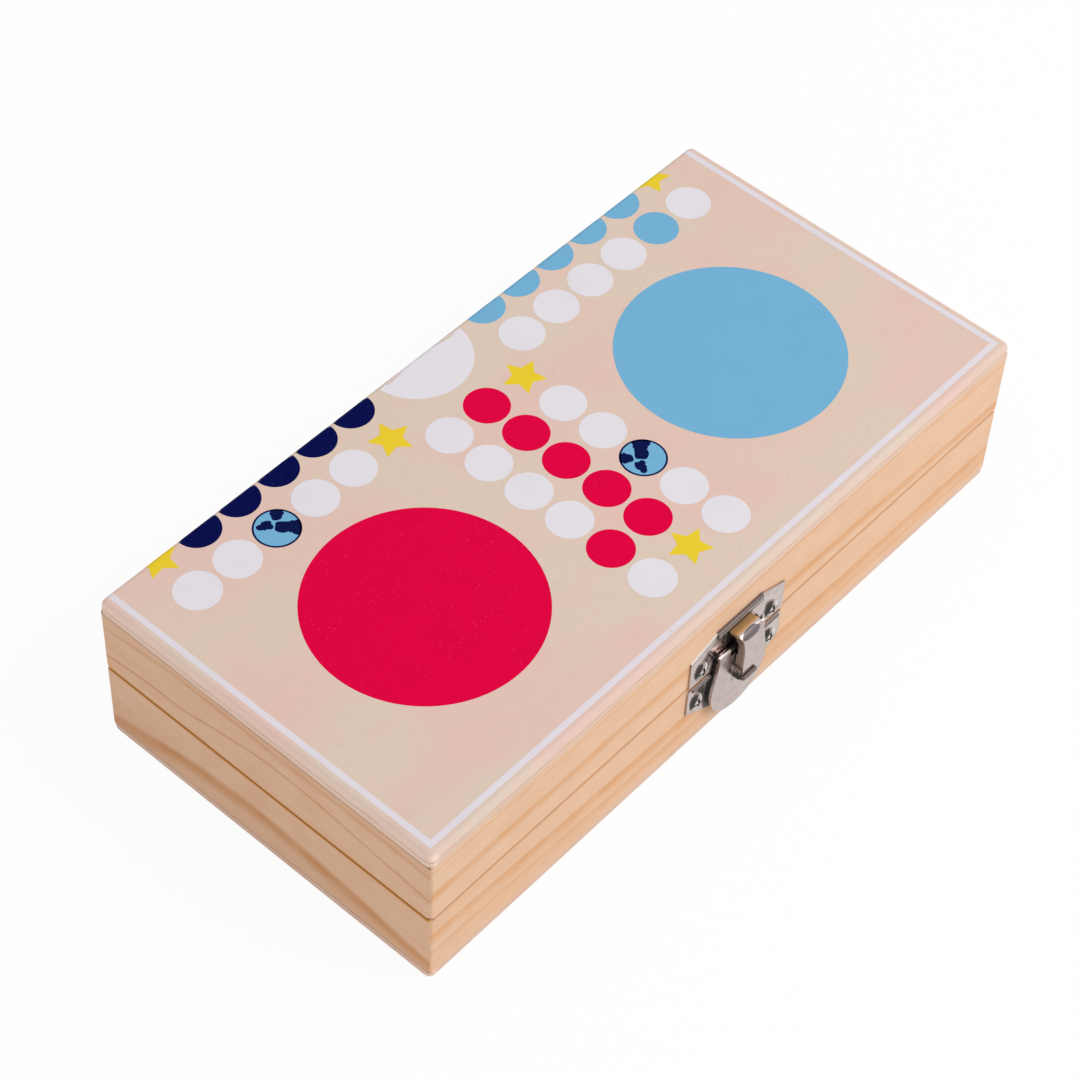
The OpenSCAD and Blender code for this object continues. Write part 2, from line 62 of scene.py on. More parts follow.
Colour = tuple[float, float, float]
Point = tuple[float, float, float]
RadiusOf = Callable[[np.ndarray], np.ndarray]
Stops = Sequence[tuple[float, Union[float, Colour]]]


def srgb(red: float, green: float, blue: float) -> Colour:
    """Turns a screen colour of 0 to 255 into Blender's linear one.

    Args:
        red: Red channel.
        green: Green channel.
        blue: Blue channel.

    Returns:
        The linear colour.
    """
    share = np.array([red, green, blue]) / 255.0
    low = share / 12.92
    high = ((share + 0.055) / 1.055) ** 2.4
    return tuple(float(c) for c in np.where(share <= 0.04045, low, high))


# Shader maths -----------------------------------------------------------------------------


@dataclass(frozen=True)
class Wire:
    """One output in a node tree, with the arithmetic that adds Math nodes.

    Attributes:
        tree: The tree that the output belongs to.
        socket: The output.
    """

    tree: "ShaderTree"
    socket: bpy.types.NodeSocket | None

    def _math(self, operation: str, other: "Value", swap: bool = False) -> "Wire":
        """Adds a Math node on this wire and another value, in that order unless swapped."""
        pair = (other, self) if swap else (self, other)
        return self.tree.math(operation, *pair)

    def __add__(self, other: "Value") -> "Wire":
        """Sum."""
        return self._math("ADD", other)

    __radd__ = __add__

    def __sub__(self, other: "Value") -> "Wire":
        """Difference."""
        return self._math("SUBTRACT", other)

    def __rsub__(self, other: "Value") -> "Wire":
        """Difference, this wire taken away."""
        return self._math("SUBTRACT", other, swap=True)

    def __mul__(self, other: "Value") -> "Wire":
        """Product."""
        return self._math("MULTIPLY", other)

    __rmul__ = __mul__

    def __truediv__(self, other: "Value") -> "Wire":
        """Quotient."""
        return self._math("DIVIDE", other)

    def __abs__(self) -> "Wire":
        """Size without its sign."""
        return self.tree.math("ABSOLUTE", self)


Value = Union[Wire, float]
Tint = Union[Wire, Colour]
Mark = tuple[Wire, Colour]


class ShaderTree:
    """A node tree of a material or the world, written as expressions on wires."""

    def __init__(self, name: str, world: bool = False) -> None:
        """Starts an empty tree.

        Args:
            name: The name of the material or world that it belongs to.
            world: Whether that is a world.
        """
        self.owner = (bpy.data.worlds if world else bpy.data.materials).new(name)
        self.owner.use_nodes = True
        self.nodes = self.owner.node_tree.nodes
        self.links = self.owner.node_tree.links
        self.nodes.clear()

    def node(
        self,
        kind: str,
        settings: Mapping[str, object] | None = None,
        inputs: Mapping[Union[str, int], object] | None = None,
        output: Union[str, int] = 0,
    ) -> Wire:
        """Adds one node.

        Args:
            kind: The node's type, without the ShaderNode prefix.
            settings: The node's own settings; "stops" fills a colour ramp, "points" a curve.
            inputs: A value or a wire for each socket, by name or by number.
            output: The output that is wanted.

        Returns:
            That output.
        """
        made = self.nodes.new("ShaderNode" + kind)
        for name, value in (settings or {}).items():
            if name == "stops":
                self._fill_ramp(made.color_ramp, value)
            elif name == "points":
                self._fill_curve(made.mapping, value)
            else:
                setattr(made, name, value)
        for name, value in (inputs or {}).items():
            if isinstance(value, Wire):
                self.links.new(value.socket, made.inputs[name])
            elif isinstance(value, tuple) and made.inputs[name].type == "RGBA":
                made.inputs[name].default_value = (*value[:3], 1.0)
            else:
                made.inputs[name].default_value = value
        return Wire(self, made.outputs[output] if made.outputs else None)

    @staticmethod
    def _fill_ramp(ramp: bpy.types.ColorRamp, stops: Stops) -> None:
        """Sets a ramp's stops.

        Args:
            ramp: The ramp, with two stops.
            stops: Each stop's place and its grey level or colour.
        """
        while len(ramp.elements) < len(stops):
            ramp.elements.new(0.5)
        for element, (place, level) in zip(ramp.elements, stops):
            element.position = place
            element.color = (*level, 1.0) if isinstance(level, tuple) else (level, level, level, 1.0)

    @staticmethod
    def _fill_curve(mapping: bpy.types.CurveMapping, points: Sequence[tuple[float, float]]) -> None:
        """Sets a float curve's points.

        Args:
            mapping: The curve, with two points.
            points: Where each point goes, the first and last at the curve's ends.
        """
        curve = mapping.curves[0]
        while len(curve.points) < len(points):
            curve.points.new(0.5, 0.5)
        for point, place in zip(curve.points, points):
            point.location = place
        mapping.update()

    def math(self, operation: str, *values: Value) -> Wire:
        """Adds a Math node."""
        return self.node("Math", {"operation": operation}, dict(enumerate(values)))

    def step(self, value: Value, low: float, high: float) -> Wire:
        """Smooth step from 0 at low to 1 at high, in either order of size."""
        inputs = {"Value": value, "From Min": low, "From Max": high, "To Min": 0.0, "To Max": 1.0}
        return self.node("MapRange", {"interpolation_type": "SMOOTHSTEP"}, inputs)

    def band(self, value: Value, centre: float, half: float, soft: float) -> Wire:
        """1 within half of centre, falling smoothly to 0 over soft."""
        return self.step(abs(value - centre), half + soft, half)

    def mix(self, factor: Value, first: Tint, second: Tint) -> Wire:
        """Mixes two colours, with the factor held between 0 and 1."""
        settings = {"data_type": "RGBA", "clamp_factor": True}
        return self.node("Mix", settings, {0: factor, 6: first, 7: second}, output=2)

    def place(self) -> tuple[Wire, Wire, Wire]:
        """Object coordinates as three wires, in metres."""
        coords = self.node("TexCoord", output="Object")
        return tuple(self.node("SeparateXYZ", inputs={0: coords}, output=axis) for axis in "XYZ")

    def vector(self, x: Value, y: Value, z: Value) -> Wire:
        """Joins three values to a vector."""
        return self.node("CombineXYZ", inputs={0: x, 1: y, 2: z})

    def outside(self, x: Wire, y: Wire) -> Wire:
        """Distance past the box's nearest side, in mm: 0 on it and less within."""
        past_x, past_y = abs(x) / MM - BOX.length / 2.0, abs(y) / MM - BOX.width / 2.0
        return self.math("MAXIMUM", past_x, past_y)

    def noise(self, at: Wire, scale: float, detail: float = 2.0, rough: float = 0.5) -> Wire:
        """Noise of 0 to 1 at a vector."""
        inputs = {"Vector": at, "Scale": scale, "Detail": detail, "Roughness": rough}
        return self.node("TexNoise", inputs=inputs)

    def cells(self, at: Wire, scale: float) -> Wire:
        """Distance to the nearest of scattered points, in cells."""
        return self.node("TexVoronoi", inputs={"Vector": at, "Scale": scale}, output="Distance")

    def bump(self, height: Wire, strength: float, distance: float) -> Wire:
        """A bumped normal."""
        inputs = {"Height": height, "Strength": strength, "Distance": distance}
        return self.node("Bump", inputs=inputs)

    def surface(self, inputs: Mapping[str, object]) -> bpy.types.Material:
        """Ends the tree in a Principled BSDF with these sockets.

        Args:
            inputs: A value or a wire for each socket.

        Returns:
            The finished material.
        """
        return self.finish(self.node("BsdfPrincipled", inputs=inputs))

    def finish(self, shader: Wire, kind: str = "OutputMaterial") -> bpy.types.ID:
        """Links a shader to the tree's output and gives back the material or world."""
        self.node(kind, inputs={"Surface": shader})
        return self.owner

    def seen(self) -> Wire:
        """1 for what the camera, a mirror or clear glass looks at, 0 for light on its way."""
        rays = ("Is Camera Ray", "Is Glossy Ray", "Is Transmission Ray")
        return sum((self.node("LightPath", output=name) for name in rays), start=0.0)


# Finishes ---------------------------------------------------------------------------------


@dataclass(frozen=True)
class BoxSizes:
    """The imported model's own sizes that the finishes follow, in mm."""

    length: float = 243.4
    width: float = 120.0
    total: float = 56.0
    parting: float = 28.0
    lid_panel: float = 4.4
    base_panel: float = 3.0
    lid_round: float = 1.8
    base_round: float = 1.2


BOX = BoxSizes()


class Grain(Enum):
    """The direction that a rail's fibres run in."""

    ALONG_X = "x"
    ALONG_Y = "y"


class Half(Enum):
    """The two halves of the printed board, each named for the body that carries it."""

    LID = "lid"
    BASE = "base"


@dataclass(frozen=True)
class Streak:
    """One band of darker late wood on a rail.

    Attributes:
        line: Height of its middle, in mm above the table, at even steps along the rail.
        above: How far it fades out upward, in mm.
        below: How far it fades out downward, in mm.
        strength: How dark it is, 0 to 1.
    """

    line: tuple[float, ...]
    above: float
    below: float
    strength: float


@dataclass(frozen=True)
class SideLook:
    """The tones of the rails on one side of the box, and of their two long edges.

    Attributes:
        glue: Darkness of the glue line against the panel, 0 to 1.
        parting: Darkness of the line where the halves meet, 0 to 1.
        parting_colour: Its colour.
        glow: Strength of the highlight painted along the rims beside the parting line, 0 to 1.
        pale: The colour of its early wood.
        warm: The colour that it drifts to.
        late: The colour of its late wood.
    """

    glue: float
    parting: float
    parting_colour: Colour
    glow: float
    pale: Colour = srgb(229, 191, 159)
    warm: Colour = srgb(221, 175, 134)
    late: Colour = srgb(200, 138, 84)


@dataclass(frozen=True)
class PineFinish:
    """Varnished pine, with the streaks of one rail.

    Attributes:
        name: The material's name.
        half: The half that the rail belongs to.
        grain: Which way the fibres run.
        seed: Shifts the noise, in metres.
        look: The tones and edges of its side of the box.
        streaks: The rail's bands of late wood.
        fibre: The colour of its fine fibres.
        seam: The colour of its glue line.
        rim_highlight: The colour of the highlight painted along the rims, which stands in for light
            on their rounding.
    """

    name: str
    half: Half
    grain: Grain
    seed: float
    look: SideLook
    streaks: tuple[Streak, ...] = ()
    fibre: Colour = srgb(198, 150, 108)
    seam: Colour = srgb(104, 76, 70)
    rim_highlight: Colour = srgb(222, 152, 58)

    def build(self) -> bpy.types.Material:
        """Builds the material.

        Returns:
            Pine whose soft bands, streaks, parting line and glue line follow the rail.
        """
        tree = ShaderTree(self.name)
        x, y, z = tree.place()
        along, across = (x, y) if self.grain is Grain.ALONG_X else (y, x)
        bend = tree.vector(along * 0.35 + self.seed, across * 0.6, z * 0.6)
        sway = tree.noise(bend, 28.0, 2.0) - 0.5
        bands = tree.vector(along * 0.08 + self.seed, across, z + sway * 0.008)
        broad = tree.noise(bands, 90.0, 1.0)
        lines = tree.vector(along * 0.05 + self.seed, across, z + sway * 0.004)
        narrow = tree.noise(lines, 300.0, 1.0)
        fibres = tree.noise(tree.vector(along * 0.08 + self.seed, across, z), 1500.0, 3.0, 0.6)
        mottle = tree.noise(tree.vector(along * 0.6, across, z + self.seed), 130.0, 3.0, 0.6)
        late = tree.step(broad, 0.5, 0.78) * 0.2 + tree.step(narrow, 0.55, 0.85) * 0.12
        for streak in self.streaks:
            late = late + self._streak(tree, streak, along, z, sway, mottle)
        late = tree.math("MINIMUM", late, 1.0)
        colour = tree.mix(tree.step(mottle, 0.3, 0.75) * 0.4, self.look.pale, self.look.warm)
        colour = tree.mix(late, colour, self.look.late)
        colour = tree.mix((fibres - 0.5) * 0.5 + 0.06, colour, self.fibre)
        shown = tree.step(tree.outside(x, y), -1.3, -0.5)
        colour = self._edges(tree, z, mottle, shown, colour)
        return tree.surface({
            "Base Color": colour,
            "Roughness": 0.46 + fibres * 0.12,
            "Normal": tree.bump(fibres * 0.7 + narrow * 0.3, 0.14, 0.0002),
            "Specular IOR Level": 0.22,
        })

    def _edges(self, tree: ShaderTree, z: Wire, mottle: Wire, shown: Wire, colour: Wire) -> Wire:
        """Draws the parting line, the painted highlight beside it and the glue line.

        Args:
            tree: The material's tree.
            z: Height, in metres.
            mottle: Soft noise of 0 to 1.
            shown: 1 on the box's outside, where the lines show.
            colour: The wood.

        Returns:
            The wood with its lines.
        """
        height = z / MM
        off = abs(height - BOX.parting)
        # painted highlight: an orange band along both sides of the parting line, standing in for
        # light on the rims' rounding
        glow = tree.step(off, 1.5, 0.4) * shown * self.look.glow
        colour = tree.mix(glow, colour, self.rim_highlight)
        parting = tree.step(off, 0.8, 0.35) * shown * self.look.parting
        colour = tree.mix(parting, colour, self.look.parting_colour)
        if self.half is Half.LID:
            inside = (BOX.total - BOX.lid_panel) - height
        else:
            inside = height - BOX.base_panel
        glue = tree.step(inside, 0.5, 0.15) * (0.7 + mottle * 0.6) * shown * self.look.glue
        return tree.mix(glue, colour, self.seam)

    def _streak(
        self, tree: ShaderTree, streak: Streak, along: Wire, z: Wire, sway: Wire, mottle: Wire
    ) -> Wire:
        """One streak's darkness, which fades away on both sides of its curved line.

        Args:
            tree: The material's tree.
            streak: The streak.
            along: Place along the rail, in metres.
            z: Height, in metres.
            sway: Slow noise that bends the line.
            mottle: Soft noise that breaks it up.

        Returns:
            Darkness of 0 and up.
        """
        length = BOX.length if self.grain is Grain.ALONG_X else BOX.width
        share = along / (length * MM) + 0.5
        last = len(streak.line) - 1
        points = [(i / last, height / BOX.total) for i, height in enumerate(streak.line)]
        line = tree.node("FloatCurve", {"points": points}, {"Value": share}) * BOX.total
        off = z / MM + sway * 1.4 - line
        shape = tree.step(off, streak.above, 0.0) * tree.step(off, -streak.below, 0.0)
        return shape * (0.35 + mottle * 1.3) * streak.strength


@dataclass(frozen=True)
class PlyFinish:
    """Pale birch plywood: a printed face, and an edge with its thin veneer lines.

    Attributes:
        half: The half whose panel it is.
        seed: Shifts the noise, in metres.
        pale, grey, blush, vein, fleck: The colours of its printed face.
        edge, left_edge_highlight, core: Those of its edge, of the highlight painted on the left
            edge's rounding, and of the inner veneers.
    """

    half: Half
    seed: float
    pale: Colour = srgb(222, 191, 179)
    grey: Colour = srgb(217, 197, 181)
    blush: Colour = srgb(226, 188, 176)
    vein: Colour = srgb(205, 172, 146)
    fleck: Colour = srgb(170, 140, 124)
    edge: Colour = srgb(226, 200, 182)
    left_edge_highlight: Colour = srgb(250, 220, 202)
    core: Colour = srgb(204, 142, 98)

    def build(self) -> bpy.types.Material:
        """Builds the material.

        Returns:
            Birch with soft blotches, a few slanting veins and flecks, and a layered edge.
        """
        tree = ShaderTree(f"birch_{self.half.value}")
        x, y, z = tree.place()
        cloud = tree.noise(tree.vector(x * 0.7 + self.seed, y, 0.0), 30.0, 2.0)
        blush = tree.noise(tree.vector(x * 0.55, y + self.seed, 0.0), 75.0, 3.0, 0.6)
        sway = tree.noise(tree.vector(x * 0.6, y + self.seed, 0.0), 14.0, 2.0) - 0.5
        vein = tree.noise(tree.vector(x * 0.1 + self.seed, y + sway * 0.02, 0.0), 55.0, 1.0)
        fine = tree.noise(tree.vector(x * 0.3, y + self.seed, z), 1100.0, 3.0, 0.6)
        dots = tree.cells(tree.vector(x * 0.45 + self.seed, y, 0.0), 300.0)
        colour = tree.mix(tree.step(cloud, 0.4, 0.6), self.pale, self.grey)
        colour = tree.mix(tree.step(blush, 0.5, 0.72) * 0.5, colour, self.blush)
        colour = tree.mix(tree.step(vein, 0.62, 0.85) * 0.42, colour, self.vein)
        colour = tree.mix((fine - 0.5) * 0.34 + 0.03, colour, self.vein)
        dots = tree.step(dots, 0.09, 0.03) * tree.step(cloud, 0.4, 0.5)
        colour = tree.mix(dots * 0.3, colour, self.fleck)
        outer, inward = (BOX.total, -1.0) if self.half is Half.LID else (0.0, 1.0)
        thick = BOX.lid_panel if self.half is Half.LID else BOX.base_panel
        depth = (z / MM - outer) * inward
        colour = tree.mix(tree.step(depth, 0.5, 1.6) * 0.75, colour, self.edge)
        # painted highlight: near the face, the rounded edge on the box's left side is made paler, as
        # if lit
        left = tree.step(x / MM, 3.8 - BOX.length / 2.0, 1.4 - BOX.length / 2.0)
        colour = tree.mix(tree.step(depth, 0.1, 0.8) * left * 0.85, colour, self.left_edge_highlight)
        layers = tree.noise(tree.vector(x * 0.03, y * 0.03, z + self.seed), 2200.0, 1.0)
        side = tree.step(tree.outside(x, y), -1.6, -0.6)
        layers = tree.step(layers, 0.52, 0.72) * tree.step(depth, 1.0, 1.8) * side
        colour = tree.mix(layers * 0.4, colour, self.core)
        wander = sway * 0.7
        line = tree.band(depth + wander, thick * 0.56, 0.1, 0.16)
        line = line + tree.band(depth - wander, thick * 0.86, 0.08, 0.14) * 0.5
        colour = tree.mix(line * side * (0.2 + blush * 0.8), colour, self.core)
        return tree.surface({
            "Base Color": colour,
            "Roughness": 0.52 + fine * 0.1,
            "Normal": tree.bump(fine, 0.08, 0.0001),
            "Specular IOR Level": 0.14,
        })


@dataclass(frozen=True)
class InkFinish:
    """Screen-printed paint on wood.

    Attributes:
        name: The material's name.
        colour: The paint.
        speck: The colour of its pinholes and dust.
        specks: How many of them show, 0 to 1.
        cover: How much of the wood's fine grain shows in it, 0 to 1.
        scuff: How much of it is rubbed through, 0 to 1.
        wood: The colour that shows there.
    """

    name: str
    colour: Colour
    speck: Colour
    specks: float = 0.5
    cover: float = 0.3
    scuff: float = 0.0
    wood: Colour = srgb(212, 190, 178)

    def build(self) -> bpy.types.Material:
        """Builds the material.

        Returns:
            Paint with pinholes, a faint weave from the screen and, on the border, rubbed-through
            spots.
        """
        tree = ShaderTree(self.name)
        x, y, _ = tree.place()
        flat = tree.vector(x, y, 0.0)
        fine = tree.noise(tree.vector(x * 0.5, y, 0.0), 1700.0, 3.0, 0.6)
        cloud = tree.noise(flat, 70.0, 3.0)
        dust = tree.cells(flat, 640.0)
        grit = tree.noise(flat, 2400.0, 1.0)
        shade = tuple(c * 0.78 for c in self.colour)
        patchy = (fine - 0.4) * self.cover + tree.step(cloud, 0.45, 0.7) * 0.1
        colour = tree.mix(patchy, self.colour, shade)
        pinholes = tree.step(dust, 0.17, 0.08) * tree.step(cloud, 0.42, 0.58)
        colour = tree.mix(pinholes * self.specks, colour, self.speck)
        if self.scuff > 0.0:
            wear_and_shade = tree.step(tree.noise(tree.vector(x * 0.8, y, 0.0), 260.0, 4.0, 0.7), 0.62, 0.7)
            colour = tree.mix(wear_and_shade * self.scuff, colour, self.wood)
        return tree.surface({
            "Base Color": colour,
            "Roughness": 0.5 + fine * 0.12,
            "Normal": tree.bump(fine * 0.6 + grit * 0.4, 0.14, 0.0001),
            "Specular IOR Level": 0.03,
        })


@dataclass(frozen=True)
class MetalFinish:
    """Plated or drawn sheet metal.

    Attributes:
        name: The material's name.
        colour: The metal.
        dull: The colour of its tarnished patches.
        rough: Roughness where it is brightest.
        scratches: How deep the fine scratches are.
        painted_shade: The colour of the shade and dark reflections painted into its recesses and
            gaps.
    """

    name: str
    colour: Colour = srgb(192, 176, 171)
    dull: Colour = srgb(160, 142, 135)
    rough: float = 0.1
    scratches: float = 0.05
    painted_shade: Colour = srgb(20, 15, 14)

    def build(self) -> bpy.types.Material:
        """Builds the material.

        Returns:
            Metal with cloudy tarnish, a rolled waviness, fine scratches, and the painted shade,
            reflections and highlights that its marks give.
        """
        tree = ShaderTree(self.name)
        x, y, z = tree.place()
        at = tree.vector(x, y, z)
        tarnish = tree.noise(at, 420.0, 3.0, 0.6)
        wave = tree.noise(at, 160.0, 1.0)
        hair = tree.noise(tree.vector(x * 0.15 + z * 0.4, y, z), 5200.0, 2.0)
        colour = tree.mix(tree.step(tarnish, 0.45, 0.75) * 0.55, self.colour, self.dull)
        out, up = -BOX.width / 2.0 - y / MM, z / MM - BOX.parting
        dull: Value = 0.0
        # the marks paint shade, reflections and highlights, and make the metal under them less
        # metallic and rougher
        for mask, tone in self.marks(tree, x / MM, out, up):
            colour = tree.mix(mask, colour, tone)
            dull = tree.math("MAXIMUM", dull, mask)
        return tree.surface({
            "Base Color": colour,
            "Metallic": 1.0 - dull * 0.8,
            "Roughness": tarnish * 0.08 + dull * 0.25 + self.rough,
            "Normal": tree.bump(hair * 0.2 + wave, self.scratches, 0.0002),
        })

    def marks(self, tree: ShaderTree, side: Wire, out: Wire, up: Wire) -> list[Mark]:
        """Names the places of painted shade, reflections and highlights, each painted over the ones
        before it.

        Args:
            tree: The material's tree.
            side: Distance to the right of the latch's middle, in mm.
            out: Distance in front of the box's front face, in mm.
            up: Height above the parting line, in mm.

        Returns:
            Each place's mask of 0 to 1 and its tone; plain metal has none.
        """
        return []


@dataclass(frozen=True)
class PlateFinish(MetalFinish):
    """The two screwed plates: painted shadow round the lever and behind the strap, painted dark
    reflections on the hem and the bead, and painted highlights on edges.

    Attributes:
        pivot_up: Height of the lever's pivot above the parting line, in mm, as all heights here.
        round_up: Height of the middle of the lever's round lower end.
        half_top: Half the painted shadow's width at the pivot, in mm.
        half_end: Its radius at the round end, in mm.
        hem_up: Height of the lower edge of the lid plate's hem.
        bead_up: Height of the middle of the base plate's bead.
        hem, bead, glint: The painted dark reflections on the hem and the bead, and the painted
            highlight on edges.
    """

    pivot_up: float = 4.9
    round_up: float = -10.5
    half_top: float = 9.6
    half_end: float = 11.8
    hem_up: float = 13.0
    bead_up: float = -1.85
    hem: Colour = srgb(88, 74, 72)
    bead: Colour = srgb(92, 80, 78)
    glint: Colour = srgb(240, 238, 236)

    def marks(self, tree: ShaderTree, side: Wire, out: Wire, up: Wire) -> list[Mark]:
        """Painted shadow round the lever's bell outline and behind the strap's head, with painted
        dark reflections on a dull hem and bead and painted highlights on edges.

        The outline is half_top wide at the pivot, grows to half_end on a smooth step, and
        ends in a circle of that radius round round_up. The lid plate's slanting edge runs
        from (20, 11.4) to (9.5, 15.2): inside is the distance from it.

        Args:
            tree: The material's tree.
            side: Distance to the right of the latch's middle, in mm.
            out: Distance in front of the box's front face, in mm.
            up: Height above the parting line, in mm.

        Returns:
            The places' masks and tones.
        """
        step = tree.step
        aside = abs(side)
        below = tree.math("MINIMUM", up - self.round_up, 0.0)
        reach = tree.math("SQRT", aside * aside + below * below)
        grow = step(up, self.pivot_up, self.round_up)
        edge = grow * (self.half_end - self.half_top) + self.half_top
        lever = step(reach - edge, 2.0, 0.9) * step(up, self.pivot_up + 0.8, self.pivot_up)
        strap = step(aside, 6.2, 5.0) * step(up, 3.0, 4.6) * step(up, 12.9, 12.5)
        hem = step(up, self.hem_up - 0.1, self.hem_up + 0.1) * step(aside, 10.4, 9.6)
        seam = tree.band(up, self.hem_up, 0.12, 0.2) * step(aside, 10.4, 9.6)
        ridge = tree.band(up, self.hem_up + 1.1, 0.1, 0.16) * step(aside, 9.6, 9.2)
        bead = step(out, 0.62, 0.75) * tree.band(up, self.bead_up, 1.0, 0.15)
        inside = (20.0 - aside) * 0.3403 - (up - 11.4) * 0.9403
        left = step(side, -9.4, -9.9)
        return [
            # painted shadow round the lever and behind the strap; painted dark reflections on the
            # hem and the bead; painted highlights on the hem's ridge and the slanting edge, with
            # painted shade lines along the hem and beside that edge
            (tree.math("MAXIMUM", lever, strap) * 0.96, self.painted_shade),
            (hem * 0.9, self.hem),
            (ridge * 0.45, self.glint),
            (seam * 0.85, self.painted_shade),
            (bead * step(aside, 9.4, 10.0) * 0.9, self.bead),
            (tree.band(inside, 0.72, 0.12, 0.12) * left * 0.85, self.painted_shade),
            (step(inside, 0.52, 0.4) * left * 0.9, self.glint),
        ]


@dataclass(frozen=True)
class LeverFinish(MetalFinish):
    """The lever: painted shade on its flanges and on the shelf in its hook, painted reflections on
    its ears and hook tip, and a painted shadow under the hook.
    """

    # brown, lip, glint: painted reflection on the ears and shadow under the hook, painted dark
    # reflection on the lip, painted highlight
    brown: Colour = srgb(120, 100, 90)
    lip: Colour = srgb(96, 82, 76)
    glint: Colour = srgb(240, 238, 236)

    def marks(self, tree: ShaderTree, side: Wire, out: Wire, up: Wire) -> list[Mark]:
        """Painted shade behind its face and on the hook's shelf, whose left end gets a painted
        highlight.

        Args:
            tree: The material's tree.
            side: Distance to the right of the latch's middle, in mm.
            out: Distance in front of the box's front face, in mm.
            up: Height above the parting line, in mm.

        Returns:
            The places' masks and tones.
        """
        step = tree.step
        aside = abs(side)
        flank = step(out, 1.95, 1.6) * step(aside, 8.2, 9.0)
        ears = step(out, 2.65, 2.9) * step(up, -6.9, -6.6)
        below = step(up, -11.5, -8.5) * step(aside, 4.2, 2.4) * step(up, -7.2, -7.5)
        low = step(up, -5.5, -5.7)
        shelf = step(out, 2.6, 2.75) * step(out, 6.0, 5.9) * step(up, -4.6, -5.0)
        lip = step(out, 6.1, 6.25) * low
        end = step(side, -2.45, -2.6) * step(out, 2.7, 2.9) * step(up, -6.9, -7.1)
        # painted brownish reflection on the ears; painted shadow under the hook; painted shade on
        # the flanges and the shelf; painted dark reflection on the lip; painted highlight on the
        # shelf's left end
        return [
            (ears * 0.9, self.brown),
            (below * 0.45, self.brown),
            (tree.math("MAXIMUM", flank, shelf) * 0.96, self.painted_shade),
            (lip * 0.9, self.lip),
            (end * 0.9, self.glint),
        ]


@dataclass(frozen=True)
class StrapFinish(MetalFinish):
    """The springy strap: painted reflections on its nose, on the oval of its bend and on its
    flanges, and painted shade behind the flanges and at its foot.
    """

    # warm, oval, brown: painted reflections of the wood on the nose, of the dark on the bend's oval,
    # and of the wood on the flanges
    warm: Colour = srgb(194, 148, 98)
    oval: Colour = srgb(104, 92, 96)
    brown: Colour = srgb(138, 114, 96)

    def marks(self, tree: ShaderTree, side: Wire, out: Wire, up: Wire) -> list[Mark]:
        """Painted reflections on the flanges, the nose and the bend's oval, and painted shade behind
        the flanges, at the foot and on the oval's rim.

        Args:
            tree: The material's tree.
            side: Distance to the right of the latch's middle, in mm.
            out: Distance in front of the box's front face, in mm.
            up: Height above the parting line, in mm.

        Returns:
            The places' masks and tones.
        """
        step = tree.step
        aside = abs(side)
        flank = step(out, 5.35, 5.15) * step(up, 11.6, 10.9)
        deep = step(out, 3.2, 2.6) * step(up, 10.9, 10.4)
        nose = step(out, 3.9, 3.5) * step(up, 11.0, 11.4)
        foot = step(up, -4.6, -5.2) * step(out, 5.3, 5.1)
        turned = (out - up + 6.3) / 1.9
        reach = tree.math("SQRT", side * side / 12.0 + turned * turned)
        oval = step(reach, 1.0, 0.86) * step(up, 8.6, 9.2)
        rim = step(reach, 1.22, 1.08) * step(up, 9.4, 10.2) * step(side, 2.6, 1.6)
        # painted reflection of the wood on the flanges and the nose, painted dark reflection on the
        # bend's oval; painted shade behind the flanges, at the foot and on the oval's rim
        return [
            (flank * 0.9, self.brown),
            (deep * 0.9, self.painted_shade),
            (nose, self.warm),
            (foot * 0.95, self.painted_shade),
            (rim * 0.8, self.painted_shade),
            (oval, self.oval),
        ]


@dataclass(frozen=True)
class ScrewFinish(MetalFinish):
    """Domed screw heads: a painted dark crescent of shade and reflection on one flank, a painted
    brownish reflection beside it, and painted shade in the cross recess.

    Attributes:
        at_side: Distance of the two screws from the latch's middle, in mm.
        at_up: Their height above the parting line, in mm.
        head: Radius of a head, in mm.
        dome: Height of its dome, in mm.
        face: Distance of the plate's face in front of the box's, in mm.
        brown: The painted reflection on the flank.
    """

    at_side: float = 15.0
    at_up: float = 3.9
    head: float = 3.0
    dome: float = 0.9
    face: float = 0.6
    brown: Colour = srgb(128, 100, 74)

    def marks(self, tree: ShaderTree, side: Wire, out: Wire, up: Wire) -> list[Mark]:
        """Painted shade below the dome's ball surface, and where the flank turns up and left.

        Args:
            tree: The material's tree.
            side: Distance to the right of the latch's middle, in mm.
            out: Distance in front of the box's front face, in mm.
            up: Height above the parting line, in mm.

        Returns:
            The places' masks and tones.
        """
        step = tree.step
        ball = (self.head**2 + self.dome**2) / (2.0 * self.dome)
        right = side - tree.math("SIGN", side) * self.at_side
        high = up - self.at_up
        deep = out - (self.face + self.dome - ball)
        flat = tree.math("SQRT", right * right + high * high)
        depth = ball - tree.math("SQRT", right * right + high * high + deep * deep)
        recess = step(depth, 0.05, 0.16) * step(flat, 2.6, 2.3)
        turned = (high * 0.55 - right * 0.84) / 3.0
        crescent = step(turned, 0.42, 0.56) * step(flat, 1.6, 2.0)
        arc = step(turned, 0.1, 0.3) * step(flat, 1.4, 1.7)
        # painted brownish reflection on the flank's arc; painted shade in the cross recess and the
        # dark crescent
        return [
            (arc * 0.6, self.brown),
            (tree.math("MAXIMUM", recess, crescent) * 0.97, self.painted_shade),
        ]


# Shapes -----------------------------------------------------------------------------------


